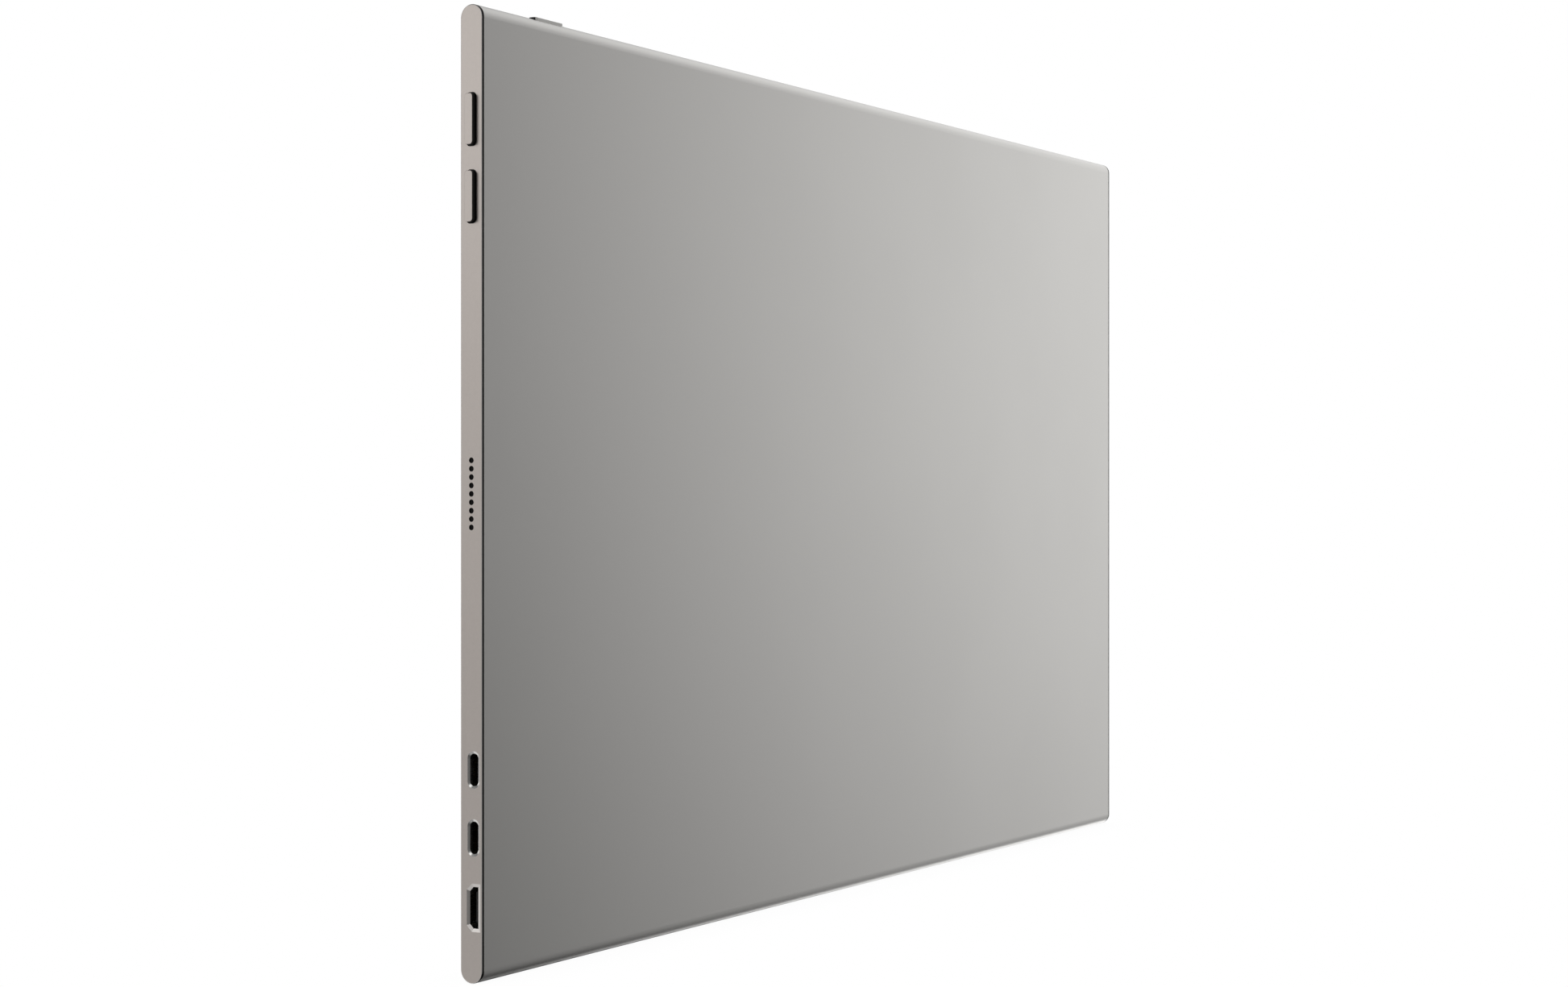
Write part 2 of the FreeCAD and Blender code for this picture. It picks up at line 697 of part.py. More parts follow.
def soft_prism(low, high):
    """A key's outline carried from low to high, with its upper edge softened."""
    solid = prism(key_slot(0), low, high)
    return solid.makeFillet(KEY_SOFT, rim_edges(solid, ALONG_Z, high))


def side_key():
    """Side key with dark walls, and the metal cap on its top."""
    cap_foot = KEY_RISE - KEY_CAP_T
    return key_body(cap_foot), soft_prism(cap_foot, KEY_RISE)


def power_key():
    """Top key: a metal channel over the core hides its long walls and leaves its ends dark."""
    channel = soft_prism(-POWER_CAP_SKIRT, POWER_RISE)
    core_half = KEY_WIDTH / 2 - KEY_CAP_T
    core_top = POWER_RISE - KEY_CAP_T
    core = block(-KEY_LENGTH, KEY_LENGTH, -core_half, core_half, -POWER_CAP_SKIRT, core_top)
    cap = channel.cut(core)
    return key_body(core_top).cut(cap), cap


def switch_levels():
    """Local heights of the plunger's tip and of the switch's top."""
    tip = -KEY_DEPTH - FIT - FLANGE_T - NIB_LENGTH
    return tip, tip - SWITCH_STANDOFF


def switch_parts():
    """A push switch's body with its bore, and the plunger in it."""
    tip, top = switch_levels()
    half_length, half_width = SWITCH_LENGTH / 2, SWITCH_WIDTH / 2
    body = block(-half_length, half_length, -half_width, half_width, top - SWITCH_DEPTH, top)
    plunger_foot = tip - PLUNGER_LENGTH
    bore_foot = plunger_foot - KEY_TRAVEL - FIT
    bore = Part.makeCylinder(PLUNGER_R + FIT, top - bore_foot, V(0, 0, bore_foot))
    plunger = Part.makeCylinder(PLUNGER_R, PLUNGER_LENGTH, V(0, 0, plunger_foot))
    return body.cut(bore), plunger


def make_keys():
    """The three keys with their caps, switches and plungers."""
    switch, plunger = switch_parts()
    side_body, side_cap = side_key()
    top_body, top_cap = power_key()
    nodes = {}
    for name, z in (("upper", Z_UPPER_KEY), ("lower", Z_LOWER_KEY)):
        pieces = {"key": side_body, "key_cap": side_cap, "switch": switch, "plunger": plunger}
        for piece, shape in pieces.items():
            nodes[name + "_" + piece] = on_side(shape, Y_MID, z)
    pieces = {"key": top_body, "key_cap": top_cap, "switch": switch, "plunger": plunger}
    for piece, shape in pieces.items():
        nodes["power_" + piece] = on_top(shape)
    return nodes


def make_power_key_guide():
    """Insert under the top edge's crest that guides the power key."""
    half = POWER_GUIDE_LENGTH / 2
    bar = end_prism(X_POWER - half, X_POWER + half, WALL + FIT)
    high = bar.common(block(X_POWER - half, X_POWER + half, -THICK, 0, Z_TOP - KEY_DEPTH, Z_TOP))
    return high.cut(on_top(prism(key_slot(KEY_SLIDE), -KEY_DEPTH, 0)))


# Speakers

def make_speaker():
    """Right speaker: sealed box with its duct mouth, and the driver let into its front wall."""
    front = Y_PANEL_REAR + SEAT
    x0, half = X_BOX - BOX_LENGTH, BOX_HEIGHT / 2
    box = rounded_block(x0, X_BOX, front, Y_INNER, -half, half, BOX_CORNER)
    w = BOX_WALL
    box = box.cut(block(x0 + w, X_BOX - w, front + w, Y_INNER - w, w - half, half - w))
    duct = prism(outline(speaker_row_length(), DUCT_WIDTH, DUCT_WIDTH / 2), -BOX_LENGTH / 2, 0)
    box = box.cut(on_side(duct, Y_MID, 0))
    middle = X_BOX - BOX_LENGTH / 2

    def racetrack(grow, y0, y1):
        wire = outline(DRIVER_LENGTH + 2 * grow, DRIVER_WIDTH + 2 * grow, DRIVER_WIDTH)
        shape = prism(wire, 0, y1 - y0)
        shape.rotate(ORIGIN, ALONG_X, -90)
        shape.rotate(ORIGIN, ALONG_Y, 90)
        return shape.translated(V(middle, y0, 0))

    lip_back = front + DRIVER_LIP_T
    box = box.cut(racetrack(FIT, front, front + w))
    box = box.cut(racetrack(DRIVER_LIP + FIT, front, lip_back))
    driver = racetrack(0, front, front + DRIVER_T).fuse(racetrack(DRIVER_LIP, front, lip_back))
    driver = driver.cut(racetrack(-CONE_MARGIN, front, front + CONE_DIP)).removeSplitter()
    return box, driver


# Boards and what is on them

def port_notches():
    """Slots in the main board's edge where the receptacles sink in."""
    mouth = X_PLATE - PORT_SETBACK
    sizes = (
        (Z_UPPER_DATA, DATA_LENGTH, DATA_DEPTH),
        (Z_LOWER_DATA, DATA_LENGTH, DATA_DEPTH),
        (Z_VIDEO, VIDEO_LENGTH, VIDEO_DEPTH),
    )
    notches = []
    for z, length, depth in sizes:
        half = length / 2 + NOTCH_GAP
        notches.append(block(mouth - depth - NOTCH_GAP, X_BOARD, Y_BOARD_FRONT, Y_BOARD, z - half, z + half))
    return notches


def make_main_board():
    """Main circuit board behind the ports."""
    x0 = X_BOARD - BOARD_WIDTH
    board = rounded_block(x0, X_BOARD, Y_BOARD_FRONT, Y_BOARD, Z_BOARD, Z_BOARD_TOP, BOARD_CORNER)
    for notch in port_notches():
        board = board.cut(notch)
    for x, z in board_screw_spots():
        board = board.cut(pin(x, z, Y_BOARD_FRONT, Y_BOARD, SCREW_R + SEAT))
    return board


def can_box():
    """The shield can's extent as x0, x1, z0, z1."""
    x0 = X_BOARD - BOARD_WIDTH + CAN_INSET
    z0 = Z_BOARD + CAN_RISE
    return x0, x0 + CAN_SIZE, z0, z0 + CAN_SIZE


def make_shield_can():
    """Thin metal lid over the processor, open towards the board."""
    x0, x1, z0, z1 = can_box()
    y1 = Y_BOARD + CAN_HEIGHT
    can = rounded_block(x0, x1, Y_BOARD, y1, z0, z1, CAN_CORNER)
    w = CAN_WALL
    return can.cut(rounded_block(x0 + w, x1 - w, Y_BOARD, y1 - w, z0 + w, z1 - w, CAN_CORNER - w))


def make_thermal_pad():
    """Pad that carries heat from the can to the back wall."""
    x0, x1, z0, z1 = can_box()
    m = PAD_MARGIN
    return block(x0 + m, x1 - m, Y_BOARD + CAN_HEIGHT, Y_INNER, z0 + m, z1 - m)


def make_board_chips():
    """Processor under the can, and a row of power chips on the board's front."""
    x0, x1, z0, z1 = can_box()
    x, z, half = (x0 + x1) / 2, (z0 + z1) / 2, PROCESSOR_SIZE / 2
    chips = [block(x - half, x + half, Y_BOARD, Y_BOARD + PROCESSOR_T, z - half, z + half)]
    for i in range(POWER_CHIP_COUNT):
        left = x1 + POWER_CHIP_SIZE
        foot = z0 + POWER_CHIP_PITCH * i
        top = Y_BOARD_FRONT - POWER_CHIP_T
        chips.append(block(left, left + POWER_CHIP_SIZE, top, Y_BOARD_FRONT, foot, foot + POWER_CHIP_SIZE))
    return Part.makeCompound(chips)


# Ribbon cables, their lanes on the back wall and the connectors that hold their ends

def key_ribbon_lane():
    """Centre line of the key ribbon, beside the right speaker box."""
    return X_BOX - BOX_LENGTH - KEY_RIBBON_LANE


def key_ribbon_heights():
    """Upper and lower ends of the key ribbon."""
    return Z_LOWER_KEY - KEY_RIBBON_WIDTH, Z_BOARD_TOP - KEY_RIBBON_WIDTH


def speaker_lead_lane():
    """Centre line of a speaker lead, measured in from its box's outer end."""
    return X_BOX - LEAD_INSET


def left_lead_height():
    """Height at which the left speaker's lead crosses to the main board."""
    return Z_BOARD + BOARD_HEIGHT / 2


def ribbon(points, width):
    """A flat ribbon on the back wall along straight runs through (x, z) points."""
    half = width / 2
    runs = []
    for (x0, z0), (x1, z1) in zip(points, points[1:]):
        low_x, high_x = sorted((x0, x1))
        low_z, high_z = sorted((z0, z1))
        runs.append(block(low_x - half, high_x + half, Y_RIBBON, Y_INNER, low_z - half, high_z + half))
    return runs[0].fuse(runs[1:]).removeSplitter() if len(runs) > 1 else runs[0]


def key_connector_x():
    """Centre line of the connectors on the key board."""
    return key_board_box()[0] + KEY_RIBBON_WIDTH


def power_ribbon_height():
    """Height at which the power key's ribbon joins the key board."""
    return Z_UPPER_KEY


def make_ribbons():
    """Key, power key and speaker ribbons."""
    high, low = key_ribbon_heights()
    lane = key_ribbon_lane()
    power_z = power_board_box()[2] + KEY_RIBBON_WIDTH
    lead, half = speaker_lead_lane(), BOX_HEIGHT / 2 + LEAD_WIDTH / 2
    cross = left_lead_height()
    meet = X_BOARD - BOARD_WIDTH + LEAD_WIDTH
    bend = power_ribbon_height()
    end = key_connector_x()
    key_route = [(end, high), (lane, high), (lane, low)]
    power_route = [(X_POWER, power_z), (X_POWER, bend), (end, bend)]
    return {
        "key_flex": ribbon(key_route, KEY_RIBBON_WIDTH),
        "power_key_flex": ribbon(power_route, KEY_RIBBON_WIDTH),
        "right_speaker_lead": ribbon([(lead, -half), (lead, Z_BOARD_TOP - LEAD_WIDTH)], LEAD_WIDTH),
        "left_speaker_lead": ribbon([(-lead, -half), (-lead, cross), (meet, cross)], LEAD_WIDTH),
    }


def socket(x, z, width, board_back):
    """A ribbon connector between a board's back face and the ribbon under it."""
    half = width / 2 + CONNECTOR_MARGIN
    depth = CONNECTOR_DEPTH / 2
    return block(x - half, x + half, board_back, Y_RIBBON, z - depth, z + depth)


def make_key_connectors():
    """Ribbon connectors on the two key boards."""
    high = key_ribbon_heights()[0]
    power_z = power_board_box()[2] + KEY_RIBBON_WIDTH
    spots = ((key_connector_x(), high), (key_connector_x(), power_ribbon_height()), (X_POWER, power_z))
    return Part.makeCompound([socket(x, z, KEY_RIBBON_WIDTH, Y_SMALL_BOARD) for x, z in spots])


def display_ribbon_box():
    """The display ribbon's extent as x0, x1, y0, y1, z0, z1, between the two boards."""
    x0 = X_BOARD - BOARD_WIDTH + DISPLAY_RIBBON_INSET
    back = driver_board_faces()[1]
    y0 = (back + Y_BOARD_FRONT - RIBBON_T) / 2
    z0 = FRAME_FOOT - Z_RAIL + 2 * ASSEMBLY
    return x0, x0 + DISPLAY_RIBBON_WIDTH, y0, y0 + RIBBON_T, z0, z0 + DISPLAY_RIBBON_LENGTH


def make_display_ribbon():
    """Short flat ribbon from the driver board to the main board."""
    return block(*display_ribbon_box())


def make_board_connectors():
    """Connectors for the display ribbon, the key ribbon and the speaker leads."""
    x0, x1, y0, y1, z0, z1 = display_ribbon_box()
    depth = CONNECTOR_DEPTH
    driver_back = driver_board_faces()[1]
    lane, low = key_ribbon_lane(), key_ribbon_heights()[1]
    lead_z = Z_BOARD_TOP - LEAD_WIDTH
    meet = X_BOARD - BOARD_WIDTH + LEAD_WIDTH
    return Part.makeCompound([
        block(x0, x1, driver_back, y0, z0, z0 + depth),
        block(x0, x1, y1, Y_BOARD_FRONT, z1 - depth, z1),
        socket(lane, low, KEY_RIBBON_WIDTH, Y_BOARD),
        socket(speaker_lead_lane(), lead_z, LEAD_WIDTH, Y_BOARD),
        socket(meet, left_lead_height(), LEAD_WIDTH, Y_BOARD),
    ])


def make_small_boards():
    """The two boards that carry the switches."""
    nodes = {"key_board": key_board_box(), "power_key_board": power_board_box()}
    boards = {}
    for name, (x0, x1, z0, z1) in nodes.items():
        board = rounded_block(x0, x1, Y_SWITCH_BACK, Y_SMALL_BOARD, z0, z1, BOARD_CORNER)
        for x, z in small_board_screw_spots():
            board = board.cut(pin(x, z, Y_SWITCH_BACK, Y_SMALL_BOARD, SCREW_R + SEAT))
        boards[name] = board
    return boards


# Screws

def screw(x, z, seat, bite):
    """A pan-head screw whose head sits at seat and whose shank runs bite further back."""
    head = pin(x, z, seat - SCREW_HEAD_T, seat, SCREW_HEAD_R)
    shank = pin(x, z, seat, seat + bite, SCREW_R)
    return head.fuse(shank).removeSplitter()


def make_screws():
    """Screws of the boards, and screws of the glass frame."""
    board = [screw(x, z, Y_BOARD_FRONT, BOARD_T + SCREW_BITE) for x, z in board_screw_spots()]
    small = [screw(x, z, Y_SWITCH_BACK, SMALL_BOARD_T + SCREW_BITE) for x, z in small_board_screw_spots()]
    seat = Y_CELL + FRAME_SKIN
    bite = Y_PANEL_REAR - seat + FRAME_SCREW_BITE
    frame = [screw(x, z, seat, bite) for x, z in frame_screw_spots()]
    return {"board_screws": Part.makeCompound(board + small), "frame_screws": Part.makeCompound(frame)}


def make_nodes():
    """Every piece of the monitor by name."""
    speaker_box, speaker_driver = make_speaker()
    mesh = make_speaker_mesh()
    nodes = {
        "back_cover": make_back_cover(),
        "cover_glass": make_cover_glass(),
        "glass_tape": make_glass_tape(),
        "mid_frame": make_mid_frame(),
        "backlight_tray": make_backlight_tray(),
        "led_strip": make_led_strip(),
        "panel_flexes": make_panel_flexes(),
        "panel_driver_board": make_panel_driver_board(),
        "display_ribbon": make_display_ribbon(),
        "right_side_plate": make_right_side_plate(),
        "left_side_plate": mirrored(plain_side_plate()),
        "left_end_frame": make_left_end_frame(),
        "power_key_guide": make_power_key_guide(),
        "right_speaker_box": speaker_box,
        "left_speaker_box": mirrored(speaker_box),
        "right_speaker_driver": speaker_driver,
        "left_speaker_driver": mirrored(speaker_driver),
        "right_speaker_mesh": mesh,
        "left_speaker_mesh": mirrored(mesh),
        "main_board": make_main_board(),
        "board_chips": make_board_chips(),
        "board_connectors": make_board_connectors(),
        "key_connectors": make_key_connectors(),
        "shield_can": make_shield_can(),
        "thermal_pad": make_thermal_pad(),
    }
    groups = (
        make_panel_layers, make_right_blocks, make_ports, make_keys,
        make_ribbons, make_small_boards, make_screws,
    )
    for group in groups:
        nodes.update(group())
    return nodes


os.makedirs("parts", exist_ok=True)
for node, shape in make_nodes().items():
    shape.exportStep("parts/" + node + ".step")
print("overall", round(WIDTH, 2), round(THICK, 2), round(HEIGHT, 2))
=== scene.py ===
"""Looks of a thin portable monitor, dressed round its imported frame.

The slab stands upright with +X to the port end, +Y out of the back and +Z up. All sizes are in metres.
"""

import json
import logging
import math
from dataclasses import dataclass
from enum import Enum
from typing import Any

import bmesh
import bpy
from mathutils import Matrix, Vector


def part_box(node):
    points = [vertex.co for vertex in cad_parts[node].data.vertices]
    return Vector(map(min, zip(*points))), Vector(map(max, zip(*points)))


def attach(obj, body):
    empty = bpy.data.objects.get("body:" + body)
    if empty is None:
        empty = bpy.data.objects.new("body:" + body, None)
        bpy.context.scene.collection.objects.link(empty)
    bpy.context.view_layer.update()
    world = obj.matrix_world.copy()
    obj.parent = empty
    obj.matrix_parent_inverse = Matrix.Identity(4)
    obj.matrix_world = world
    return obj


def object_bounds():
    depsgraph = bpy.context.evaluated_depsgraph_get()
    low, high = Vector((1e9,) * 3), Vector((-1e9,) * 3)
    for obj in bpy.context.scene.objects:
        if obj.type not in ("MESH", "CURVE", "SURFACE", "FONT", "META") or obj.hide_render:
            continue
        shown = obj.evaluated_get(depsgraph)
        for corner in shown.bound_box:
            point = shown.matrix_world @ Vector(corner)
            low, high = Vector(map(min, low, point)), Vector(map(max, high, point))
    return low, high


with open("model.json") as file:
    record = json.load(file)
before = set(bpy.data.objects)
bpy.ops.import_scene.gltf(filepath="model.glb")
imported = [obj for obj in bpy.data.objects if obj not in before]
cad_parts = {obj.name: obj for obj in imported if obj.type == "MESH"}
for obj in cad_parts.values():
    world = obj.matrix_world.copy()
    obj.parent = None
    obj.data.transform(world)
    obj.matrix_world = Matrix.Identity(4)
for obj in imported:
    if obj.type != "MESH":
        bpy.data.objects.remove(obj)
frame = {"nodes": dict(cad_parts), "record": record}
CAD_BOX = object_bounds()
NODES: dict[str, bpy.types.Object] = frame["nodes"]
SLOT_OF_NODE: dict[str, str] = {row["node"]: row["material_slot"] for row in frame["record"]["subparts"]}
CHASSIS = "chassis"
MM = 0.001
LOG = logging.getLogger("portable_monitor")
NOISE_RANGE = (0.3, 0.7)
CLOUD_RANGE = (0.35, 0.68)

Colour = tuple[float, float, float]
Span = tuple[float, float]
Socket = bpy.types.NodeSocket


class Along(Enum):
    """Direction in which drawn lines run, as the stretch of the pattern along X, Y and Z."""

    WIDTH = (0.02, 1.0, 1.0)
    DEPTH = (1.0, 0.02, 1.0)
    HEIGHT = (1.0, 1.0, 0.02)


class Facing(Enum):
    """Direction that the main face of a piece looks in."""

    END = (1.0, 0.0, 0.0)
    BACK = (0.0, 1.0, 0.0)
    TOP = (0.0, 0.0, 1.0)


class PaintedShadeFaces(Enum):
    """Faces of a metal piece painted black as painted shade: those that look along the width, or those
    that don't.

    The black stands in for shade in gaps, slots and holes, and for a dark reflection at the top key's
    ends. The two numbers say how far a face looks along the width where black begins and where it is
    full.
    """

    ENDS = (0.5, 0.9)
    WALLS = (0.75, 0.55)


class Graph:
    """Adds and joins the nodes of one shader tree."""

    def __init__(self, tree: bpy.types.NodeTree) -> None:
        """Hold the tree that nodes are added to."""
        self.tree = tree

    def feed(self, socket: Socket, value: Any) -> None:
        """Join another node's output to a socket, or set the socket's own value.

        Args:
            socket: The input socket.
            value: The output socket or the plain value.
        """
        if isinstance(value, bpy.types.NodeSocket):
            self.tree.links.new(value, socket)
        else:
            socket.default_value = value

    def add(self, kind: str, inputs: dict[str, Any] | None = None, **settings: Any) -> bpy.types.Node:
        """Add one shader node.

        Args:
            kind: The node's type, without its leading "ShaderNode".
            inputs: Values or output sockets for the node's inputs, by name.
            settings: Properties of the node itself.

        Returns:
            The new node.
        """
        node = self.tree.nodes.new("ShaderNode" + kind)
        for name, value in settings.items():
            setattr(node, name, value)
        for name, value in (inputs or {}).items():
            self.feed(node.inputs[name], value)
        return node

    def group(self, tree: bpy.types.NodeTree, **inputs: Any) -> bpy.types.Node:
        """Place a node group.

        Args:
            tree: The group's tree.
            inputs: Values for the group's inputs, by name.

        Returns:
            The group node.
        """
        node = self.add("Group", node_tree=tree)
        for name, value in inputs.items():
            self.feed(node.inputs[name], value)
        return node

    def math(self, operation: str, first: Any, second: Any = 0.0, clamp: bool = False) -> Socket:
        """Join two values by arithmetic.

        Args:
            operation: The operation's name.
            first: First value or output socket.
            second: Second value or output socket.
            clamp: Keep the result between 0 and 1.

        Returns:
            The result's socket.
        """
        node = self.add("Math", operation=operation, use_clamp=clamp)
        self.feed(node.inputs[0], first)
        self.feed(node.inputs[1], second)
        return node.outputs[0]

    def spread(
        self, value: Socket, low: float, high: float, start: float = 0.0, end: float = 1.0
    ) -> Socket:
        """Map a value from one range to another, smoothly and without overshoot.

        Args:
            value: The value's socket.
            low: Result at the start of the range.
            high: Result at the end of the range.
            start: Start of the value's range.
            end: End of the value's range.

        Returns:
            The result's socket.
        """
        node = self.add("MapRange", interpolation_type="SMOOTHSTEP")
        for name, number in zip(("From Min", "From Max", "To Min", "To Max"), (start, end, low, high)):
            node.inputs[name].default_value = number
        self.feed(node.inputs["Value"], value)
        return node.outputs["Result"]

    def blend(self, factor: Socket, first: Any, second: Any) -> Socket:
        """Mix two colours by a factor.

        Args:
            factor: How much of the second colour shows.
            first: First colour or output socket.
            second: Second colour or output socket.

        Returns:
            The mixed colour's socket.
        """
        node = self.add("Mix", data_type="RGBA")
        colours = [s for s in node.inputs if s.type == "RGBA"]
        self.feed(node.inputs["Factor"], factor)
        for socket, value in zip(colours, (first, second)):
            self.feed(socket, value if isinstance(value, bpy.types.NodeSocket) else (*value, 1.0))
        return next(s for s in node.outputs if s.type == "RGBA")

    def place(self) -> Socket:
        """The point on the object, in metres."""
        return self.add("TexCoord").outputs["Object"]

    def noise(self, where: Socket, scale: Any, detail: float = 2.0) -> Socket:
        """A noise pattern.

        Args:
            where: Where the pattern is read.
            scale: Grains per metre, as a value or socket.
            detail: Octaves of finer grain.

        Returns:
            The pattern's value, about 0.5 in the mean.
        """
        return self.add("TexNoise", {"Vector": where, "Scale": scale, "Detail": detail}).outputs[0]


class Effects:
    """Surface effects that several finishes share, each a node group made once."""

    def __init__(self) -> None:
        """Make the groups."""
        self.blast_grain = self._blast_grain()
        self.handling = self._handling()
        self.cut_face = self._cut_face()
        self.mould_texture = self._mould_texture()
        self.drawn_lines = self._drawn_lines()

    @staticmethod
    def _start(name: str, inputs: dict[str, Any], outputs: tuple[str, ...]) -> tuple[Graph, Any, Any]:
        """Start a group with named sockets.

        Args:
            name: The group's name.
            inputs: Default value of each input, a number or a vector.
            outputs: Names of the outputs.

        Returns:
            The group's graph, its input node and its output node.
        """
        tree = bpy.data.node_groups.new(name, "ShaderNodeTree")
        for socket, value in inputs.items():
            kind = "NodeSocketVector" if isinstance(value, tuple) else "NodeSocketFloat"
            tree.interface.new_socket(socket, in_out="INPUT", socket_type=kind).default_value = value
        for socket in outputs:
            tree.interface.new_socket(socket, in_out="OUTPUT", socket_type="NodeSocketFloat")
        return Graph(tree), tree.nodes.new("NodeGroupInput"), tree.nodes.new("NodeGroupOutput")

    def _blast_grain(self) -> bpy.types.NodeTree:
        """Fine grain of a bead-blasted face over a coarser drift.

        Returns:
            The group, with Scale in and Tone and Height out.
        """
        graph, start, end = self._start("blast_grain", {"Scale": 6000.0}, ("Tone", "Height"))
        where = graph.place()
        fine_share, coarse_share, coarse_scale = 0.7, 0.3, 0.12
        fine = graph.noise(where, start.outputs["Scale"], detail=3.0)
        coarse = graph.noise(where, graph.math("MULTIPLY", start.outputs["Scale"], coarse_scale))
        fine_part = graph.math("MULTIPLY", fine, fine_share)
        both = graph.math("ADD", fine_part, graph.math("MULTIPLY", coarse, coarse_share))
        graph.feed(end.inputs["Tone"], graph.spread(both, 0.0, 1.0, *NOISE_RANGE))
        graph.feed(end.inputs["Height"], fine)
        return graph.tree

    def _handling(self) -> bpy.types.NodeTree:
        """Soft clouds where hands have dulled a surface.

        Returns:
            The group, with Scale and Streak in and Mask out.
        """
        graph, start, end = self._start("handling", {"Scale": 14.0, "Streak": 0.35}, ("Mask",))
        where = graph.place()
        upright, streak_scale = (1.0, 1.0, 0.25), 6.0
        wide = graph.noise(where, start.outputs["Scale"], detail=4.0)
        streak = graph.add("Mapping", {"Vector": where, "Scale": upright}).outputs[0]
        thin_scale = graph.math("MULTIPLY", start.outputs["Scale"], streak_scale)
        thin = graph.noise(streak, thin_scale, detail=3.0)
        change = graph.math("MULTIPLY", graph.math("SUBTRACT", thin, wide), start.outputs["Streak"])
        both = graph.math("ADD", wide, change)
        graph.feed(end.inputs["Mask"], graph.spread(both, 0.0, 1.0, *CLOUD_RANGE))
        return graph.tree

    def _cut_face(self) -> bpy.types.NodeTree:
        """Faces that turn away from a piece's main face, such as bevels and rolled edges.

        Returns:
            The group, with Main, Start and End in and Mask out.
        """
        inputs = {"Main": (1.0, 0.0, 0.0), "Start": 0.985, "End": 0.90}
        graph, start, end = self._start("cut_face", inputs, ("Mask",))
        normal = graph.add("NewGeometry").outputs["True Normal"]
        turn = graph.add("VectorMath", operation="DOT_PRODUCT")
        graph.feed(turn.inputs[0], normal)
        graph.feed(turn.inputs[1], start.outputs["Main"])
        facing = graph.math("ABSOLUTE", turn.outputs["Value"])
        fall = graph.math("SUBTRACT", start.outputs["Start"], facing)
        reach = graph.math("SUBTRACT", start.outputs["Start"], start.outputs["End"])
        graph.feed(end.inputs["Mask"], graph.math("DIVIDE", fall, reach, clamp=True))
        return graph.tree

    def _mould_texture(self) -> bpy.types.NodeTree:
        """Spark-eroded texture of a moulded face.

        Returns:
            The group, with Scale in and Tone and Height out.
        """
        graph, start, end = self._start("mould_texture", {"Scale": 5000.0}, ("Tone", "Height"))
        where = graph.place()
        drift_scale, half = 0.3, 0.5
        cells = graph.add("TexVoronoi", {"Vector": where, "Scale": start.outputs["Scale"]})
        wide_scale = graph.math("MULTIPLY", start.outputs["Scale"], drift_scale)
        drift = graph.noise(where, wide_scale, detail=3.0)
        cell_part = graph.math("MULTIPLY", cells.outputs["Distance"], half)
        both = graph.math("ADD", cell_part, graph.math("MULTIPLY", drift, half))
        graph.feed(end.inputs["Tone"], graph.spread(drift, 0.0, 1.0, *NOISE_RANGE))
        graph.feed(end.inputs["Height"], both)
        return graph.tree

    def _drawn_lines(self) -> bpy.types.NodeTree:
        """Fine lines along the direction in which metal was drawn or rolled.

        Returns:
            The group, with Scale and Stretch in and Tone and Height out.
        """
        inputs = {"Scale": 9000.0, "Stretch": Along.WIDTH.value}
        graph, start, end = self._start("drawn_lines", inputs, ("Tone", "Height"))
        stretched = graph.add("Mapping", {"Vector": graph.place(), "Scale": start.outputs["Stretch"]})
        lines = graph.noise(stretched.outputs[0], start.outputs["Scale"], detail=3.0)
        graph.feed(end.inputs["Tone"], graph.spread(lines, 0.0, 1.0, *NOISE_RANGE))
        graph.feed(end.inputs["Height"], lines)
        return graph.tree


EFFECTS = Effects()
# Painted shade: black for faces that stand in for the shade in gaps, slots and holes
PAINTED_SHADE_BLACK: Colour = (0.004, 0.004, 0.004)


@dataclass(frozen=True)
class Finish:
    """A surface finish that makes its own material.

    Attributes:
        name: The material's name.
        colour: Main colour, linear.
        roughness: Roughness of the clean surface.
    """

    name: str
    colour: Colour
    roughness: float

    def darker(self, share: float) -> Colour:
        """The main colour times a share."""
        return tuple(c * share for c in self.colour)

    def dress(self, graph: Graph, shader: bpy.types.Node) -> None:
        """Join the surface's own detail to its shader.

        Args:
            graph: The material's graph.
            shader: The material's Principled BSDF.
        """
        raise NotImplementedError

    def bump(self, graph: Graph, shader: bpy.types.Node, height: Socket, depth: float) -> None:
        """Raise the surface by a height.

        Args:
            graph: The material's graph.
            shader: The material's Principled BSDF.
            height: The pattern's height, from 0 to 1.
            depth: Depth of the pattern in metres.
        """
        node = graph.add("Bump", {"Height": height, "Distance": depth, "Strength": 1.0})
        graph.feed(shader.inputs["Normal"], node.outputs["Normal"])

    def material(self) -> bpy.types.Material:
        """Make the finished material the first time that it is asked for.

        Returns:
            The material.
        """
        made = bpy.data.materials.get(self.name)
        if made is not None and made.get("finished"):
            return made
        made = bpy.data.materials.new(self.name)
        made["finished"] = True
        made.use_nodes = True
        graph = Graph(made.node_tree)
        shader = next(n for n in made.node_tree.nodes if n.type == "BSDF_PRINCIPLED")
        shader.inputs["Base Color"].default_value = (*self.colour, 1.0)
        shader.inputs["Roughness"].default_value = self.roughness
        self.dress(graph, shader)
        return made


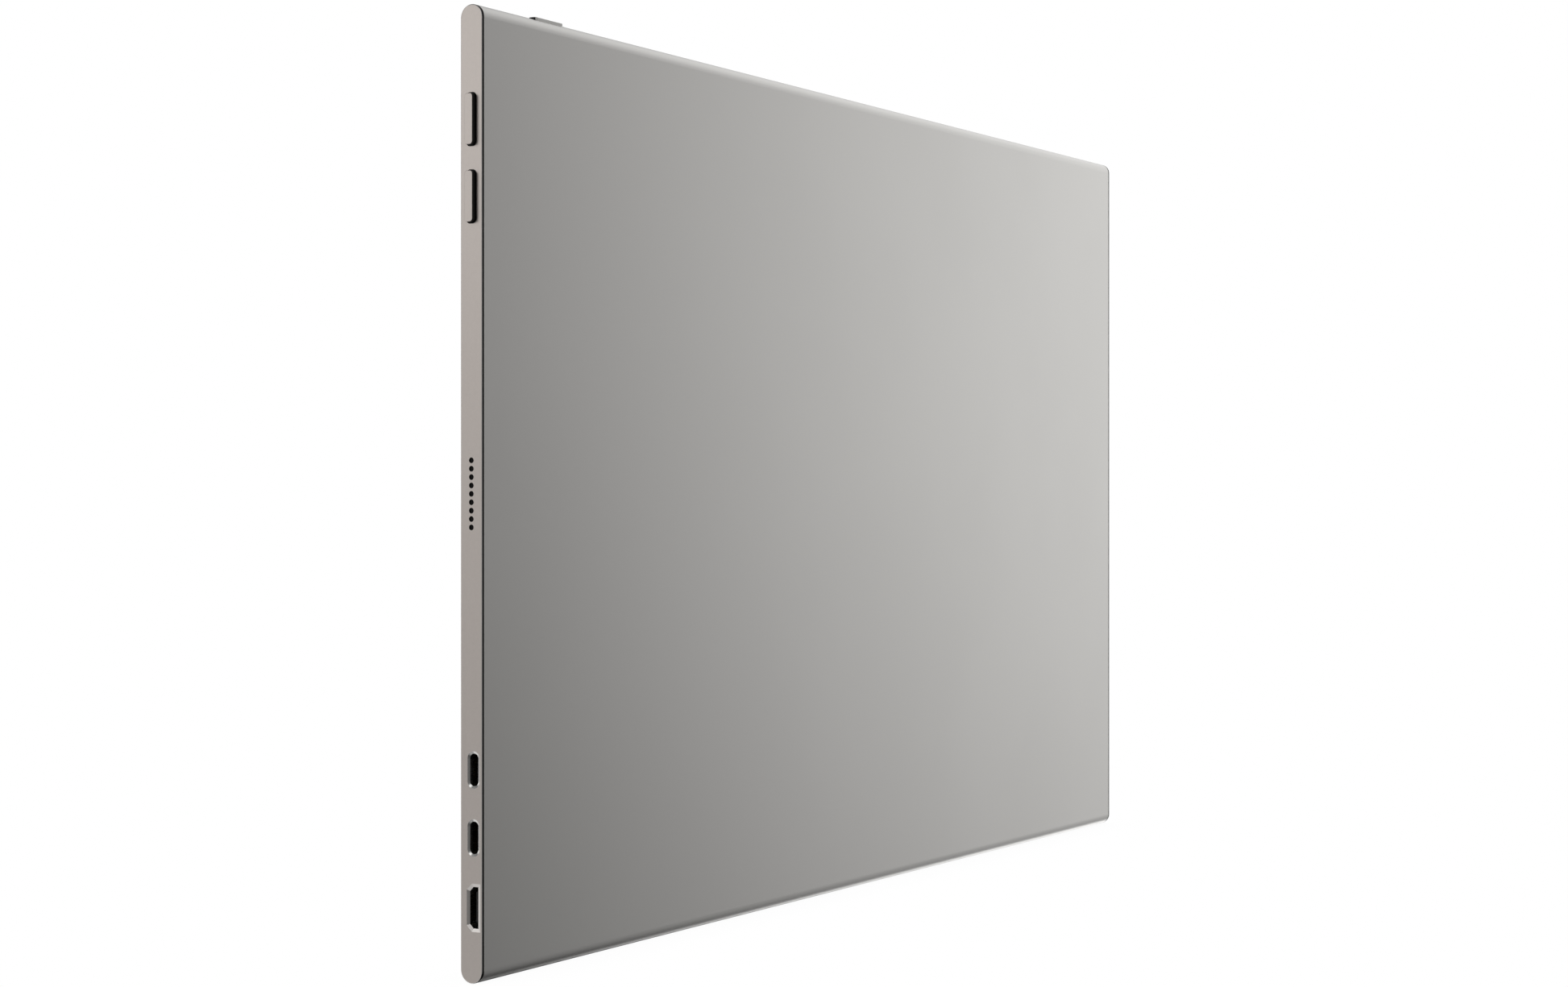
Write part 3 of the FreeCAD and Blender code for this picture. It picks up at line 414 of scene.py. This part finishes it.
@dataclass(frozen=True)
class AnodisedFinish(Finish):
    """Blasted and anodised aluminium, with brighter cut faces and painted shade on some faces.

    Attributes:
        main: Direction of the piece's main face.
        cut_colour: Colour of bevels and rolled edges.
        cut_roughness: Roughness of bevels and rolled edges.
        black: Faces painted black instead, as painted shade.
        grain: Grains per metre.
        depth: Depth of the grain.
        dulling: How far handling changes the roughness, up or down.
        mottle: How far the grain changes the colour, up or down.
    """

    main: Facing
    cut_colour: Colour
    cut_roughness: float
    black: PaintedShadeFaces
    grain: float = 11000.0
    depth: float = 0.0000015
    dulling: float = 0.006
    mottle: float = 0.03

    def paint_shade_black(self, graph: Graph, metal: Socket) -> Socket:
        """Paint some faces black, as painted shade.

        Args:
            graph: The material's graph.
            metal: Colour of the metal.

        Returns:
            Colour of the whole piece.
        """
        begins, full = self.black.value
        edge = graph.group(EFFECTS.cut_face, Main=Facing.END.value, Start=begins, End=full)
        return graph.blend(edge.outputs["Mask"], metal, PAINTED_SHADE_BLACK)

    def dress(self, graph: Graph, shader: bpy.types.Node) -> None:
        """Join grain, handling, cut faces and painted black shade to the metal.

        Args:
            graph: The material's graph.
            shader: The material's Principled BSDF.
        """
        shader.inputs["Metallic"].default_value = 1.0
        grain = graph.group(EFFECTS.blast_grain, Scale=self.grain)
        hands = graph.group(EFFECTS.handling, Streak=0.0)
        cut = graph.group(EFFECTS.cut_face, Main=self.main.value)
        dark, light = self.darker(1.0 - self.mottle), self.darker(1.0 + self.mottle)
        satin = graph.blend(grain.outputs["Tone"], dark, light)
        metal = graph.blend(cut.outputs["Mask"], satin, self.cut_colour)
        graph.feed(shader.inputs["Base Color"], self.paint_shade_black(graph, metal))
        low, high = self.roughness - self.dulling, self.roughness + self.dulling
        dull = graph.spread(hands.outputs["Mask"], low, high)
        fade = graph.math("MULTIPLY", cut.outputs["Mask"], self.roughness - self.cut_roughness)
        graph.feed(shader.inputs["Roughness"], graph.math("SUBTRACT", dull, fade))
        self.bump(graph, shader, grain.outputs["Height"], self.depth)


@dataclass(frozen=True)
class MouldedFinish(Finish):
    """Moulded plastic with a spark-eroded texture.

    Attributes:
        grain: Cells of the texture per metre.
        depth: Depth of the texture.
        marks: Hand marks per metre.
        dulling: How far handling changes the roughness, up or down.
        mottle: How far the texture changes the colour, up or down.
    """

    grain: float = 5000.0
    depth: float = 0.00001
    marks: float = 40.0
    dulling: float = 0.05
    mottle: float = 0.15

    def dress(self, graph: Graph, shader: bpy.types.Node) -> None:
        """Join the moulded texture to the plastic.

        Args:
            graph: The material's graph.
            shader: The material's Principled BSDF.
        """
        texture = graph.group(EFFECTS.mould_texture, Scale=self.grain)
        hands = graph.group(EFFECTS.handling, Scale=self.marks)
        dark, light = self.darker(1.0 - self.mottle), self.darker(1.0 + self.mottle)
        graph.feed(shader.inputs["Base Color"], graph.blend(texture.outputs["Tone"], dark, light))
        low, high = self.roughness - self.dulling, self.roughness + self.dulling
        graph.feed(shader.inputs["Roughness"], graph.spread(hands.outputs["Mask"], low, high))
        self.bump(graph, shader, texture.outputs["Height"], self.depth)


@dataclass(frozen=True)
class DrawnFinish(Finish):
    """Drawn, rolled or plated metal with fine lines.

    Attributes:
        lines: Direction of the lines.
        rubbed: Colour where handling has rubbed the metal bright.
        depth: Depth of the lines.
        marks: Rubbed marks per metre.
        dulling: How far the lines change the roughness, up or down.
        mottle: How far the lines change the colour, up or down.
    """

    lines: Along = Along.HEIGHT
    rubbed: Colour = (0.75, 0.75, 0.74)
    depth: float = 0.000001
    marks: float = 60.0
    dulling: float = 0.03
    mottle: float = 0.04

    def dress(self, graph: Graph, shader: bpy.types.Node) -> None:
        """Join drawn lines and rubbed marks to the metal.

        Args:
            graph: The material's graph.
            shader: The material's Principled BSDF.
        """
        shader.inputs["Metallic"].default_value = 1.0
        lines = graph.group(EFFECTS.drawn_lines, Stretch=self.lines.value)
        hands = graph.group(EFFECTS.handling, Scale=self.marks)
        dark, light = self.darker(1.0 - self.mottle), self.darker(1.0 + self.mottle)
        body = graph.blend(lines.outputs["Tone"], dark, light)
        graph.feed(shader.inputs["Base Color"], graph.blend(hands.outputs["Mask"], body, self.rubbed))
        low, high = self.roughness - self.dulling, self.roughness + self.dulling
        graph.feed(shader.inputs["Roughness"], graph.spread(lines.outputs["Tone"], low, high))
        self.bump(graph, shader, lines.outputs["Height"], self.depth)


@dataclass(frozen=True)
class ScreenFinish(Finish):
    """Front glass with a black printed border round the display.

    Attributes:
        half_width: Half the display's width.
        low: Height of the display's lower edge.
        high: Height of the display's upper edge.
        display: Colour of the display when it is off.
        edge: Width of the border's soft edge.
        marks: Finger marks per metre.
        smeared: Roughness where the glass is smeared.
        index: Refractive index of the glass.
    """

    half_width: float = 0.19095
    low: float = -0.0983
    high: float = 0.1165
    display: Colour = (0.03, 0.031, 0.036)
    edge: float = 0.0002
    marks: float = 11.0
    smeared: float = 0.09
    index: float = 1.5

    def dress(self, graph: Graph, shader: bpy.types.Node) -> None:
        """Join the printed border and a film of finger marks to the glass.

        Args:
            graph: The material's graph.
            shader: The material's Principled BSDF.
        """
        split = graph.add("SeparateXYZ", {"Vector": graph.place()})
        across = graph.math("ABSOLUTE", split.outputs["X"])
        inside_x = graph.spread(across, 1.0, 0.0, self.half_width - self.edge, self.half_width)
        inside_low = graph.spread(split.outputs["Z"], 0.0, 1.0, self.low, self.low + self.edge)
        inside_high = graph.spread(split.outputs["Z"], 1.0, 0.0, self.high - self.edge, self.high)
        inside = graph.math("MULTIPLY", inside_x, graph.math("MULTIPLY", inside_low, inside_high))
        graph.feed(shader.inputs["Base Color"], graph.blend(inside, self.colour, self.display))
        hands = graph.group(EFFECTS.handling, Scale=self.marks)
        film = graph.spread(hands.outputs["Mask"], self.roughness, self.smeared)
        graph.feed(shader.inputs["Roughness"], film)
        shader.inputs["IOR"].default_value = self.index


@dataclass(frozen=True)
class BoardFinish(Finish):
    """Circuit board with solder resist over copper tracks.

    Attributes:
        copper: Colour of the resist over a track.
        pitch: Tracks per metre.
        track_width: Width of a track as a share of its pitch.
        track_height: Height of a track.
        grain: Cells of the resist's texture per metre.
        mottle: How far the texture changes the colour, up or down.
        polish: How much smoother a track is.
    """

    copper: Colour = (0.05, 0.2, 0.1)
    pitch: float = 700.0
    track_width: float = 0.03
    track_height: float = 0.00002
    grain: float = 3000.0
    mottle: float = 0.1
    polish: float = 0.1

    def dress(self, graph: Graph, shader: bpy.types.Node) -> None:
        """Join tracks and resist to the board.

        Args:
            graph: The material's graph.
            shader: The material's Principled BSDF.
        """
        bricks = graph.add("TexBrick", {"Vector": self._flat(graph), "Scale": self.pitch})
        bricks.inputs["Mortar Size"].default_value = self.track_width
        texture = graph.group(EFFECTS.mould_texture, Scale=self.grain)
        track = bricks.outputs["Fac"]
        dark, light = self.darker(1.0 - self.mottle), self.darker(1.0 + self.mottle)
        resist = graph.blend(texture.outputs["Tone"], dark, light)
        graph.feed(shader.inputs["Base Color"], graph.blend(track, resist, self.copper))
        smooth = self.roughness - self.polish
        graph.feed(shader.inputs["Roughness"], graph.spread(track, self.roughness, smooth))
        self.bump(graph, shader, track, self.track_height)

    @staticmethod
    def _flat(graph: Graph) -> Socket:
        """Lay the pattern on the board's own plane, width by height.

        Args:
            graph: The material's graph.

        Returns:
            The place on the board.
        """
        split = graph.add("SeparateXYZ", {"Vector": graph.place()})
        flat = graph.add("CombineXYZ", {"X": split.outputs["X"], "Y": split.outputs["Z"]})
        return flat.outputs[0]


@dataclass(frozen=True)
class FilmFinish(Finish):
    """Thin film or sheet, with faint ripples and a clear skin.

    Attributes:
        stripe: Colour of the conductors or prisms that show in the film.
        pitch: Stripes per metre.
        waver: How far the stripes waver.
        depth: Height of the ripples.
        marks: Hand marks per metre.
        dulling: How much rougher handling makes the film.
    """

    stripe: Colour
    pitch: float = 900.0
    waver: float = 0.4
    depth: float = 0.000005
    marks: float = 30.0
    dulling: float = 0.12

    def dress(self, graph: Graph, shader: bpy.types.Node) -> None:
        """Join stripes and ripples to the film.

        Args:
            graph: The material's graph.
            shader: The material's Principled BSDF.
        """
        inputs = {"Vector": graph.place(), "Scale": self.pitch, "Distortion": self.waver}
        band = graph.add("TexWave", inputs).outputs["Fac"]
        hands = graph.group(EFFECTS.handling, Scale=self.marks)
        graph.feed(shader.inputs["Base Color"], graph.blend(band, self.colour, self.stripe))
        low, high = self.roughness, self.roughness + self.dulling
        graph.feed(shader.inputs["Roughness"], graph.spread(hands.outputs["Mask"], low, high))
        self.bump(graph, shader, band, self.depth)


@dataclass(frozen=True)
class WovenFinish(Finish):
    """Fine woven dust mesh.

    Attributes:
        threads: Threads per metre.
        contrast: How far the weave changes the colour, up or down.
        depth: Height of the threads.
        marks: Dusty marks per metre.
        dulling: How much smoother the mesh is between marks.
    """

    threads: float = 6000.0
    contrast: float = 0.6
    depth: float = 0.00003
    marks: float = 200.0
    dulling: float = 0.1

    def dress(self, graph: Graph, shader: bpy.types.Node) -> None:
        """Join the over and under of the threads to the mesh.

        Args:
            graph: The material's graph.
            shader: The material's Principled BSDF.
        """
        where = graph.place()
        turns = self.threads * math.tau
        split = graph.add("SeparateXYZ", {"Vector": where})
        rows = [graph.math("SINE", graph.math("MULTIPLY", split.outputs[a], turns)) for a in ("Y", "Z")]
        weave = graph.math("ABSOLUTE", graph.math("MULTIPLY", rows[0], rows[1]))
        drift = graph.group(EFFECTS.handling, Scale=self.marks)
        dark, light = self.darker(1.0 - self.contrast), self.darker(1.0 + self.contrast)
        graph.feed(shader.inputs["Base Color"], graph.blend(weave, dark, light))
        low, high = self.roughness - self.dulling, self.roughness
        graph.feed(shader.inputs["Roughness"], graph.spread(drift.outputs["Mask"], low, high))
        self.bump(graph, shader, weave, self.depth)


WARM_GREY: Colour = (0.637, 0.627, 0.607)
WARM_BEIGE: Colour = (0.678, 0.62, 0.58)
BRIGHT_CUT: Colour = (0.88, 0.87, 0.85)

FINISHES: dict[str, Finish] = {
    # The shell's end faces are painted black: painted shade in the groove next to the side plates
    "anodised_shell": AnodisedFinish(
        "anodised_shell_finish", WARM_GREY, 0.26, main=Facing.BACK, cut_colour=WARM_GREY,
        cut_roughness=0.26, black=PaintedShadeFaces.ENDS,
    ),
    # The plates' side walls and the walls of their slots and holes are painted black: painted shade
    "side_plate_metal": AnodisedFinish(
        "side_plate_finish", WARM_BEIGE, 0.38, main=Facing.END, cut_colour=BRIGHT_CUT,
        cut_roughness=0.22, black=PaintedShadeFaces.WALLS,
    ),
    # The key caps' side walls are painted black: painted shade in the gaps round the keys
    "key_cap_metal": AnodisedFinish(
        "key_cap_finish", WARM_BEIGE, 0.38, main=Facing.END, cut_colour=WARM_BEIGE,
        cut_roughness=0.34, black=PaintedShadeFaces.WALLS,
    ),
    "black_moulding": MouldedFinish("black_moulding_finish", (0.006, 0.006, 0.006), 0.5),
    "screen_glass": ScreenFinish("screen_glass_finish", (0.003, 0.003, 0.0033), 0.035),
    "tape": MouldedFinish("tape_finish", (0.02, 0.02, 0.02), 0.8),
    "clear_bond": FilmFinish("clear_bond_finish", (0.8, 0.82, 0.83), 0.1, stripe=(0.82, 0.84, 0.85)),
    "cell_glass": FilmFinish(
        "cell_glass_finish", (0.02, 0.02, 0.024), 0.12, stripe=(0.024, 0.024, 0.03)
    ),
    "diffuser_film": FilmFinish(
        "diffuser_film_finish", (0.85, 0.85, 0.85), 0.35, stripe=(0.9, 0.9, 0.9)
    ),
    "clear_acrylic": FilmFinish(
        "clear_acrylic_finish", (0.8, 0.84, 0.86), 0.08, stripe=(0.83, 0.86, 0.88)
    ),
    "white_film": FilmFinish("white_film_finish", (0.88, 0.88, 0.88), 0.4, stripe=(0.92, 0.92, 0.92)),
    "tray_steel": DrawnFinish("tray_steel_finish", (0.52, 0.52, 0.53), 0.34, lines=Along.WIDTH),
    "led_board": BoardFinish(
        "led_board_finish", (0.8, 0.8, 0.77), 0.45, copper=(0.85, 0.8, 0.5), pitch=300.0
    ),
    "frame_moulding": MouldedFinish("frame_moulding_finish", (0.035, 0.035, 0.035), 0.6),
    "flex_film": FilmFinish("flex_film_finish", (0.3, 0.16, 0.04), 0.25, stripe=(0.45, 0.26, 0.08)),
    "circuit_board": BoardFinish("circuit_board_finish", (0.02, 0.1, 0.05), 0.4),
    "chip_epoxy": MouldedFinish("chip_epoxy_finish", (0.02, 0.02, 0.02), 0.45, grain=9000.0),
    "connector_plastic": MouldedFinish("connector_plastic_finish", (0.7, 0.66, 0.55), 0.5),
    "can_steel": DrawnFinish("can_steel_finish", (0.6, 0.6, 0.6), 0.3, lines=Along.WIDTH),
    "heat_pad": MouldedFinish("heat_pad_finish", (0.35, 0.4, 0.46), 0.85),
    "port_steel": DrawnFinish("port_steel_finish", (0.5, 0.5, 0.49), 0.25, lines=Along.WIDTH),
    "tongue_plastic": MouldedFinish("tongue_plastic_finish", (0.014, 0.014, 0.014), 0.42),
    "switch_plastic": MouldedFinish("switch_plastic_finish", (0.06, 0.06, 0.06), 0.5),
    "plunger_plastic": MouldedFinish("plunger_plastic_finish", (0.6, 0.57, 0.5), 0.4),
    "speaker_plastic": MouldedFinish("speaker_plastic_finish", (0.02, 0.02, 0.02), 0.5),
    "speaker_cone": MouldedFinish("speaker_cone_finish", (0.08, 0.08, 0.08), 0.55),
    "dust_mesh": WovenFinish("dust_mesh_finish", (0.01, 0.01, 0.01), 0.7),
    "screw_steel": DrawnFinish("screw_steel_finish", (0.5, 0.5, 0.5), 0.3, lines=Along.DEPTH),
}
CONTACT_GOLD = DrawnFinish("contact_gold_finish", (0.83, 0.6, 0.24), 0.22, rubbed=(0.9, 0.7, 0.35))
# The top key cap's end faces are painted black: a painted dark reflection
TOP_KEY_CAP = AnodisedFinish(
    "top_key_cap_finish", WARM_GREY, 0.36, main=Facing.TOP, cut_colour=WARM_GREY, cut_roughness=0.3,
    black=PaintedShadeFaces.ENDS,
)


def wear(piece: bpy.types.Object, finish: Finish) -> None:
    """Give a piece one finish all over.

    Args:
        piece: The piece to dress.
        finish: The finish that it gets.
    """
    piece.data.materials.clear()
    piece.data.materials.append(finish.material())


def new_piece(
    name: str, form: bmesh.types.BMesh, body: str, finish: Finish
) -> bpy.types.Object:
    """Make a piece of the object from a finished form.

    Args:
        name: The piece's name.
        form: The form, in the frame of the whole object. It is freed.
        body: The body that the piece rides on.
        finish: The finish that it gets.

    Returns:
        The new piece.
    """
    mesh = bpy.data.meshes.new(name)
    bmesh.ops.recalc_face_normals(form, faces=form.faces)
    form.to_mesh(mesh)
    form.free()
    piece = bpy.data.objects.new(name, mesh)
    bpy.context.scene.collection.objects.link(piece)
    wear(piece, finish)
    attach(piece, body)
    LOG.info("made %s with %d faces on %s", name, len(mesh.polygons), body)
    return piece


@dataclass
class SubAssembly:
    """Pieces that are built and dressed together.

    Attributes:
        title: What the pieces are, for the log.
        nodes: The frame's nodes that keep their shape and get a finish.
    """

    title: str
    nodes: tuple[str, ...]

    def finish_of(self, node: str) -> Finish:
        """The finish of one of its nodes."""
        return FINISHES[SLOT_OF_NODE[node]]

    def dress(self) -> None:
        """Give each node its finish."""
        for node in self.nodes:
            wear(NODES[node], self.finish_of(node))
            LOG.info("dressed %s of the %s", node, self.title)

    def build(self) -> None:
        """Build what the frame lacks and dress the rest."""
        self.dress()


@dataclass
class PushKeys(SubAssembly):
    """The three push keys with their switches."""

    def finish_of(self, node: str) -> Finish:
        """The finish of one of its nodes: the top key's cap matches the shell."""
        return TOP_KEY_CAP if node == "power_key_cap" else super().finish_of(node)


@dataclass
class Receptacle:
    """Contacts and ground plates on one port's tongue.

    Attributes:
        port: Name that the port's nodes start with.
        tongue_length: Length of the tongue along the height.
        tongue_t: Thickness of the tongue.
        base_t: Depth of the base that the tongue stands on.
        counts: Contacts on the front face and on the back face.
        pitch: Spacing of the contacts on a face.
        contact_width: Width of a contact.
        proud: Height of a contact above the tongue.
        tip_gap: Distance from a contact's end to the tongue's tip.
        plate_reach: How far a ground plate reaches along the tongue.
        contact_lead: Length of the slope at a contact's end.
        plate_lead: Length of the slope at a ground plate's end.
    """

    port: str
    tongue_length: float
    tongue_t: float
    base_t: float
    counts: tuple[int, int]
    pitch: float
    contact_width: float
    proud: float = 0.03 * MM
    tip_gap: float = 0.55 * MM
    plate_reach: float = 0.9 * MM
    contact_lead: float = 0.25 * MM
    plate_lead: float = 0.1 * MM

    @staticmethod
    def bar(form: bmesh.types.BMesh, x: Span, y: Span, z: Span, lead: float) -> None:
        """Add a flat bar whose outer end slopes down to the face that it lies on.

        Args:
            form: The form to add to.
            x: Inner and outer end.
            y: The face that the bar lies on and the bar's own face.
            z: Lower and upper edge.
            lead: Length of the slope.
        """
        ridge = x[1] - lead
        outline = ((x[0], y[0]), (x[1], y[0]), (ridge, y[1]), (x[0], y[1]))
        lower, upper = ([form.verts.new((*point, level)) for point in outline] for level in z)
        form.faces.new(lower)
        form.faces.new(upper[::-1])
        for i in range(len(outline)):
            j = (i + 1) % len(outline)
            form.faces.new((lower[j], lower[i], upper[i], upper[j]))

    def build(self) -> None:
        """Build the contacts and the ground plates."""
        low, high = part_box(self.port + "_tongue")
        root, tip = low.x + self.base_t, high.x
        y_mid, z_mid = (low.y + high.y) / 2, (low.z + high.z) / 2
        contacts, plates = bmesh.new(), bmesh.new()
        for side, count in zip((-1, 1), self.counts):
            face = y_mid + side * self.tongue_t / 2
            first = z_mid - self.pitch * (count - 1) / 2
            reach = (root + self.plate_reach + self.proud, tip - self.tip_gap)
            rise = (face, face + side * self.proud)
            for i in range(count):
                z = first + self.pitch * i
                edges = (z - self.contact_width / 2, z + self.contact_width / 2)
                self.bar(contacts, reach, rise, edges, self.contact_lead)
            half = self.tongue_length / 2
            plate_rise = (face, face + side * 2 * self.proud)
            edges = (z_mid - half, z_mid + half)
            self.bar(plates, (root, root + self.plate_reach), plate_rise, edges, self.plate_lead)
        new_piece(self.port + "_contacts", contacts, CHASSIS, CONTACT_GOLD)
        new_piece(self.port + "_ground_plates", plates, CHASSIS, FINISHES["port_steel"])


@dataclass
class Ports(SubAssembly):
    """The three receptacles.

    Attributes:
        receptacles: The contacts of each port.
    """

    receptacles: tuple[Receptacle, ...] = ()

    def build(self) -> None:
        """Dress the shells and tongues, then build the contacts."""
        self.dress()
        for receptacle in self.receptacles:
            receptacle.build()


@dataclass(frozen=True)
class SoftBox:
    """A soft light in the far distance, bright at its middle and fading to its rim.

    Attributes:
        aim: Direction from the object to the middle of the light.
        rim: Cosine of the angle at which its light begins.
        full: Cosine at which its light would be full.
        strength: Its full brightness.
    """

    aim: tuple[float, float, float]
    rim: float
    full: float
    strength: float

    def glow(self, graph: Graph, gaze: Socket) -> Socket:
        """Brightness of the light along a gaze.

        Args:
            graph: The world's graph.
            gaze: The direction looked in.

        Returns:
            The brightness.
        """
        turn = graph.add("VectorMath", operation="DOT_PRODUCT")
        graph.feed(turn.inputs[0], gaze)
        graph.feed(turn.inputs[1], Vector(self.aim).normalized())
        return graph.spread(turn.outputs["Value"], 0.0, self.strength, self.rim, self.full)


@dataclass
class Studio:
    """Plain pale floor, soft light and the photograph's camera.

    Attributes:
        camera_place: The camera's place.
        camera_turn: Direction of its level gaze, in degrees from +X towards +Y.
        lens: Focal length in millimetres on a sensor of the given width.
        sensor: Sensor width in millimetres.
        floor_half: Half the floor's width.
        floor_grey: How pale the floor is to the light that falls on it.
        foot_shade: Brightness of the floor close to the object and away from it, a painted contact
            shadow.
        foot_reach: How far from the object that painted shadow reaches.
        ambient: Brightness of the light all round, from below and from above.
        horizon: How far from level that light goes on changing.
        boxes: The soft lights.
    """

    camera_place: tuple[float, float, float] = (0.7662, 0.4200, 0.0001)
    camera_turn: float = -149.734
    lens: float = 63.0
    sensor: float = 36.0
    floor_half: float = 12.0
    floor_grey: float = 0.75
    foot_shade: Span = (0.97, 1.0)
    foot_reach: float = 0.02
    ambient: Span = (0.045, 0.182)
    horizon: float = 0.6
    boxes: tuple[SoftBox, ...] = (
        # The back: a broad glow, a lift below it, a gleam for the lower edge, a lift for the near corner
        SoftBox((-1.0, 0.018, 0.285), 0.74, 1.019, 0.927),
        SoftBox((-1.0, 0.22, -0.131), 0.864, 0.992, 0.39),
        SoftBox((-1.0, -0.189, -0.37), 0.953, 1.04, 3.0),
        SoftBox((-0.7, 0.68, 0.25), 0.93, 1.03, 0.08),
        # The port end: its main light, one for the mouths' bevels, one from below, a gleam
        SoftBox((1.0, -0.782, 0.313), 0.93, 1.103, 3.842),
        SoftBox((0.092, -1.0, -0.5), 0.744, 0.864, 0.634),
        SoftBox((1.848, -0.786, -1.0), 0.86, 1.131, 1.5),
        SoftBox((1.0, -0.134, 0.489), 0.961, 1.006, 1.336),
        # Fills for views from other sides
        SoftBox((0.7, 0.65, -0.1), 0.9, 1.0, 0.35),
        SoftBox((0.0, 1.0, 0.2), 0.8, 1.05, 0.5),
        SoftBox((0.0, 0.0, -1.0), 0.75, 1.0, 0.5),
    )

    def build(self) -> None:
        """Build the camera, the light and the floor."""
        self.build_camera()
        self.build_world()
        self.build_floor()
        bpy.context.scene.view_settings.view_transform = "Standard"

    def build_camera(self) -> None:
        """Set the camera where the photograph was taken from."""
        data = bpy.data.cameras.new("photo_camera")
        data.lens = self.lens
        data.sensor_width = self.sensor
        camera = bpy.data.objects.new("photo_camera", data)
        turn = math.radians(self.camera_turn)
        camera.location = self.camera_place
        gaze = Vector((math.cos(turn), math.sin(turn), 0.0))
        camera.rotation_euler = gaze.to_track_quat("-Z", "Y").to_euler()
        bpy.context.scene.collection.objects.link(camera)
        bpy.context.scene.camera = camera

    def build_world(self) -> None:
        """White to the camera, and a soft fall of grey light on the object."""
        world = bpy.data.worlds.new("studio_world")
        world.use_nodes = True
        bpy.context.scene.world = world
        graph = Graph(world.node_tree)
        world.node_tree.nodes.clear()
        gaze = graph.add("TexCoord").outputs["Generated"]
        height = graph.add("SeparateXYZ", {"Vector": gaze}).outputs["Z"]
        light = graph.spread(height, *self.ambient, -self.horizon, self.horizon)
        for box in self.boxes:
            light = graph.math("ADD", light, box.glow(graph, gaze))
        colour = (1.0, 1.0, 1.0, 1.0)
        soft = graph.add("Background", {"Color": colour, "Strength": light})
        white = graph.add("Background", {"Color": colour, "Strength": 1.0})
        seen = graph.add("LightPath").outputs["Is Camera Ray"]
        both = graph.add("MixShader", {"Fac": seen})
        graph.feed(both.inputs[1], soft.outputs[0])
        graph.feed(both.inputs[2], white.outputs[0])
        graph.add("OutputWorld", {"Surface": both.outputs[0]})

    def build_floor(self) -> None:
        """A wide white floor under the object's lower edge, with a painted contact shadow near it."""
        half, foot = self.floor_half, CAD_BOX[0].z
        form = bmesh.new()
        corners = ((-half, -half), (half, -half), (half, half), (-half, half))
        form.faces.new([form.verts.new((x, y, foot)) for x, y in corners])
        mesh = bpy.data.meshes.new("studio_floor")
        form.to_mesh(mesh)
        form.free()
        floor = bpy.data.objects.new("studio_floor", mesh)
        bpy.context.scene.collection.objects.link(floor)
        paint = bpy.data.materials.new("studio_floor_paint")
        paint.use_nodes = True
        graph = Graph(paint.node_tree)
        paint.node_tree.nodes.clear()
        grey = self.floor_grey
        matt = graph.add("BsdfDiffuse", {"Color": (grey, grey, grey, 1.0)})
        # Painted shadow: the floor's glow to the camera dims where ambient occlusion finds the object
        # close by
        near = graph.add("AmbientOcclusion", {"Distance": self.foot_reach}, samples=8).outputs["AO"]
        glow = graph.add("Emission", {"Strength": graph.spread(near, *self.foot_shade)})
        seen = graph.add("LightPath").outputs["Is Camera Ray"]
        both = graph.add("MixShader", {"Fac": seen})
        graph.feed(both.inputs[1], matt.outputs[0])
        graph.feed(both.inputs[2], glow.outputs[0])
        graph.add("OutputMaterial", {"Surface": both.outputs[0]})
        mesh.materials.append(paint)
        floor.visible_glossy = False


def sub_assemblies() -> list[SubAssembly]:
    """List the monitor's sub-assemblies.

    Returns:
        The sub-assemblies in building order.
    """
    key_parts = ("_key", "_key_cap", "_switch", "_plunger")
    keys = tuple(name + part for name in ("upper", "lower", "power") for part in key_parts)
    ports = ("upper_data_port", "lower_data_port", "video_port")
    port_nodes = tuple(p + end for p in ports for end in ("_shell", "_tongue"))
    speaker_parts = ("_speaker_box", "_speaker_driver", "_speaker_mesh", "_speaker_lead")
    speakers = tuple(side + part for side in ("right", "left") for part in speaker_parts)
    data_sizes = dict(
        tongue_length=6.65 * MM, tongue_t=0.70 * MM, base_t=1.8 * MM, counts=(12, 12), pitch=0.5 * MM,
        contact_width=0.27 * MM,
    )
    video_sizes = dict(
        tongue_length=8.0 * MM, tongue_t=0.60 * MM, base_t=1.8 * MM, counts=(10, 9), pitch=0.8 * MM,
        contact_width=0.32 * MM,
    )
    receptacles = tuple(
        Receptacle(port, **sizes) for port, sizes in zip(ports, (data_sizes, data_sizes, video_sizes))
    )
    return [
        SubAssembly("shell", ("back_cover",)),
        SubAssembly("end closures", (
            "right_side_plate", "left_side_plate", "right_port_block", "right_speaker_block",
            "right_key_block", "left_end_frame",
        )),
        PushKeys("push keys", keys + ("power_key_guide", "key_board", "power_key_board")),
        Ports("ports", port_nodes, receptacles),
        SubAssembly("speakers", speakers),
        SubAssembly("screen", (
            "cover_glass", "glass_tape", "optical_bond", "lcd_cell", "optical_films", "light_guide",
            "reflector", "backlight_tray", "led_strip", "mid_frame", "panel_flexes",
            "panel_driver_board", "display_ribbon",
        )),
        SubAssembly("electronics", (
            "main_board", "board_chips", "board_connectors", "key_connectors", "shield_can",
            "thermal_pad", "key_flex", "power_key_flex", "board_screws", "frame_screws",
        )),
    ]


def write_sizes() -> None:
    """Bring the placements of the scene's objects up to date."""
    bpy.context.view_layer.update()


def main() -> None:
    """Build the studio and every sub-assembly, and report each piece."""
    logging.basicConfig(level=logging.INFO, format="%(name)s: %(message)s")
    Studio().build()
    for part in sub_assemblies():
        part.build()
    write_sizes()


if __name__ == "__main__":
    main()
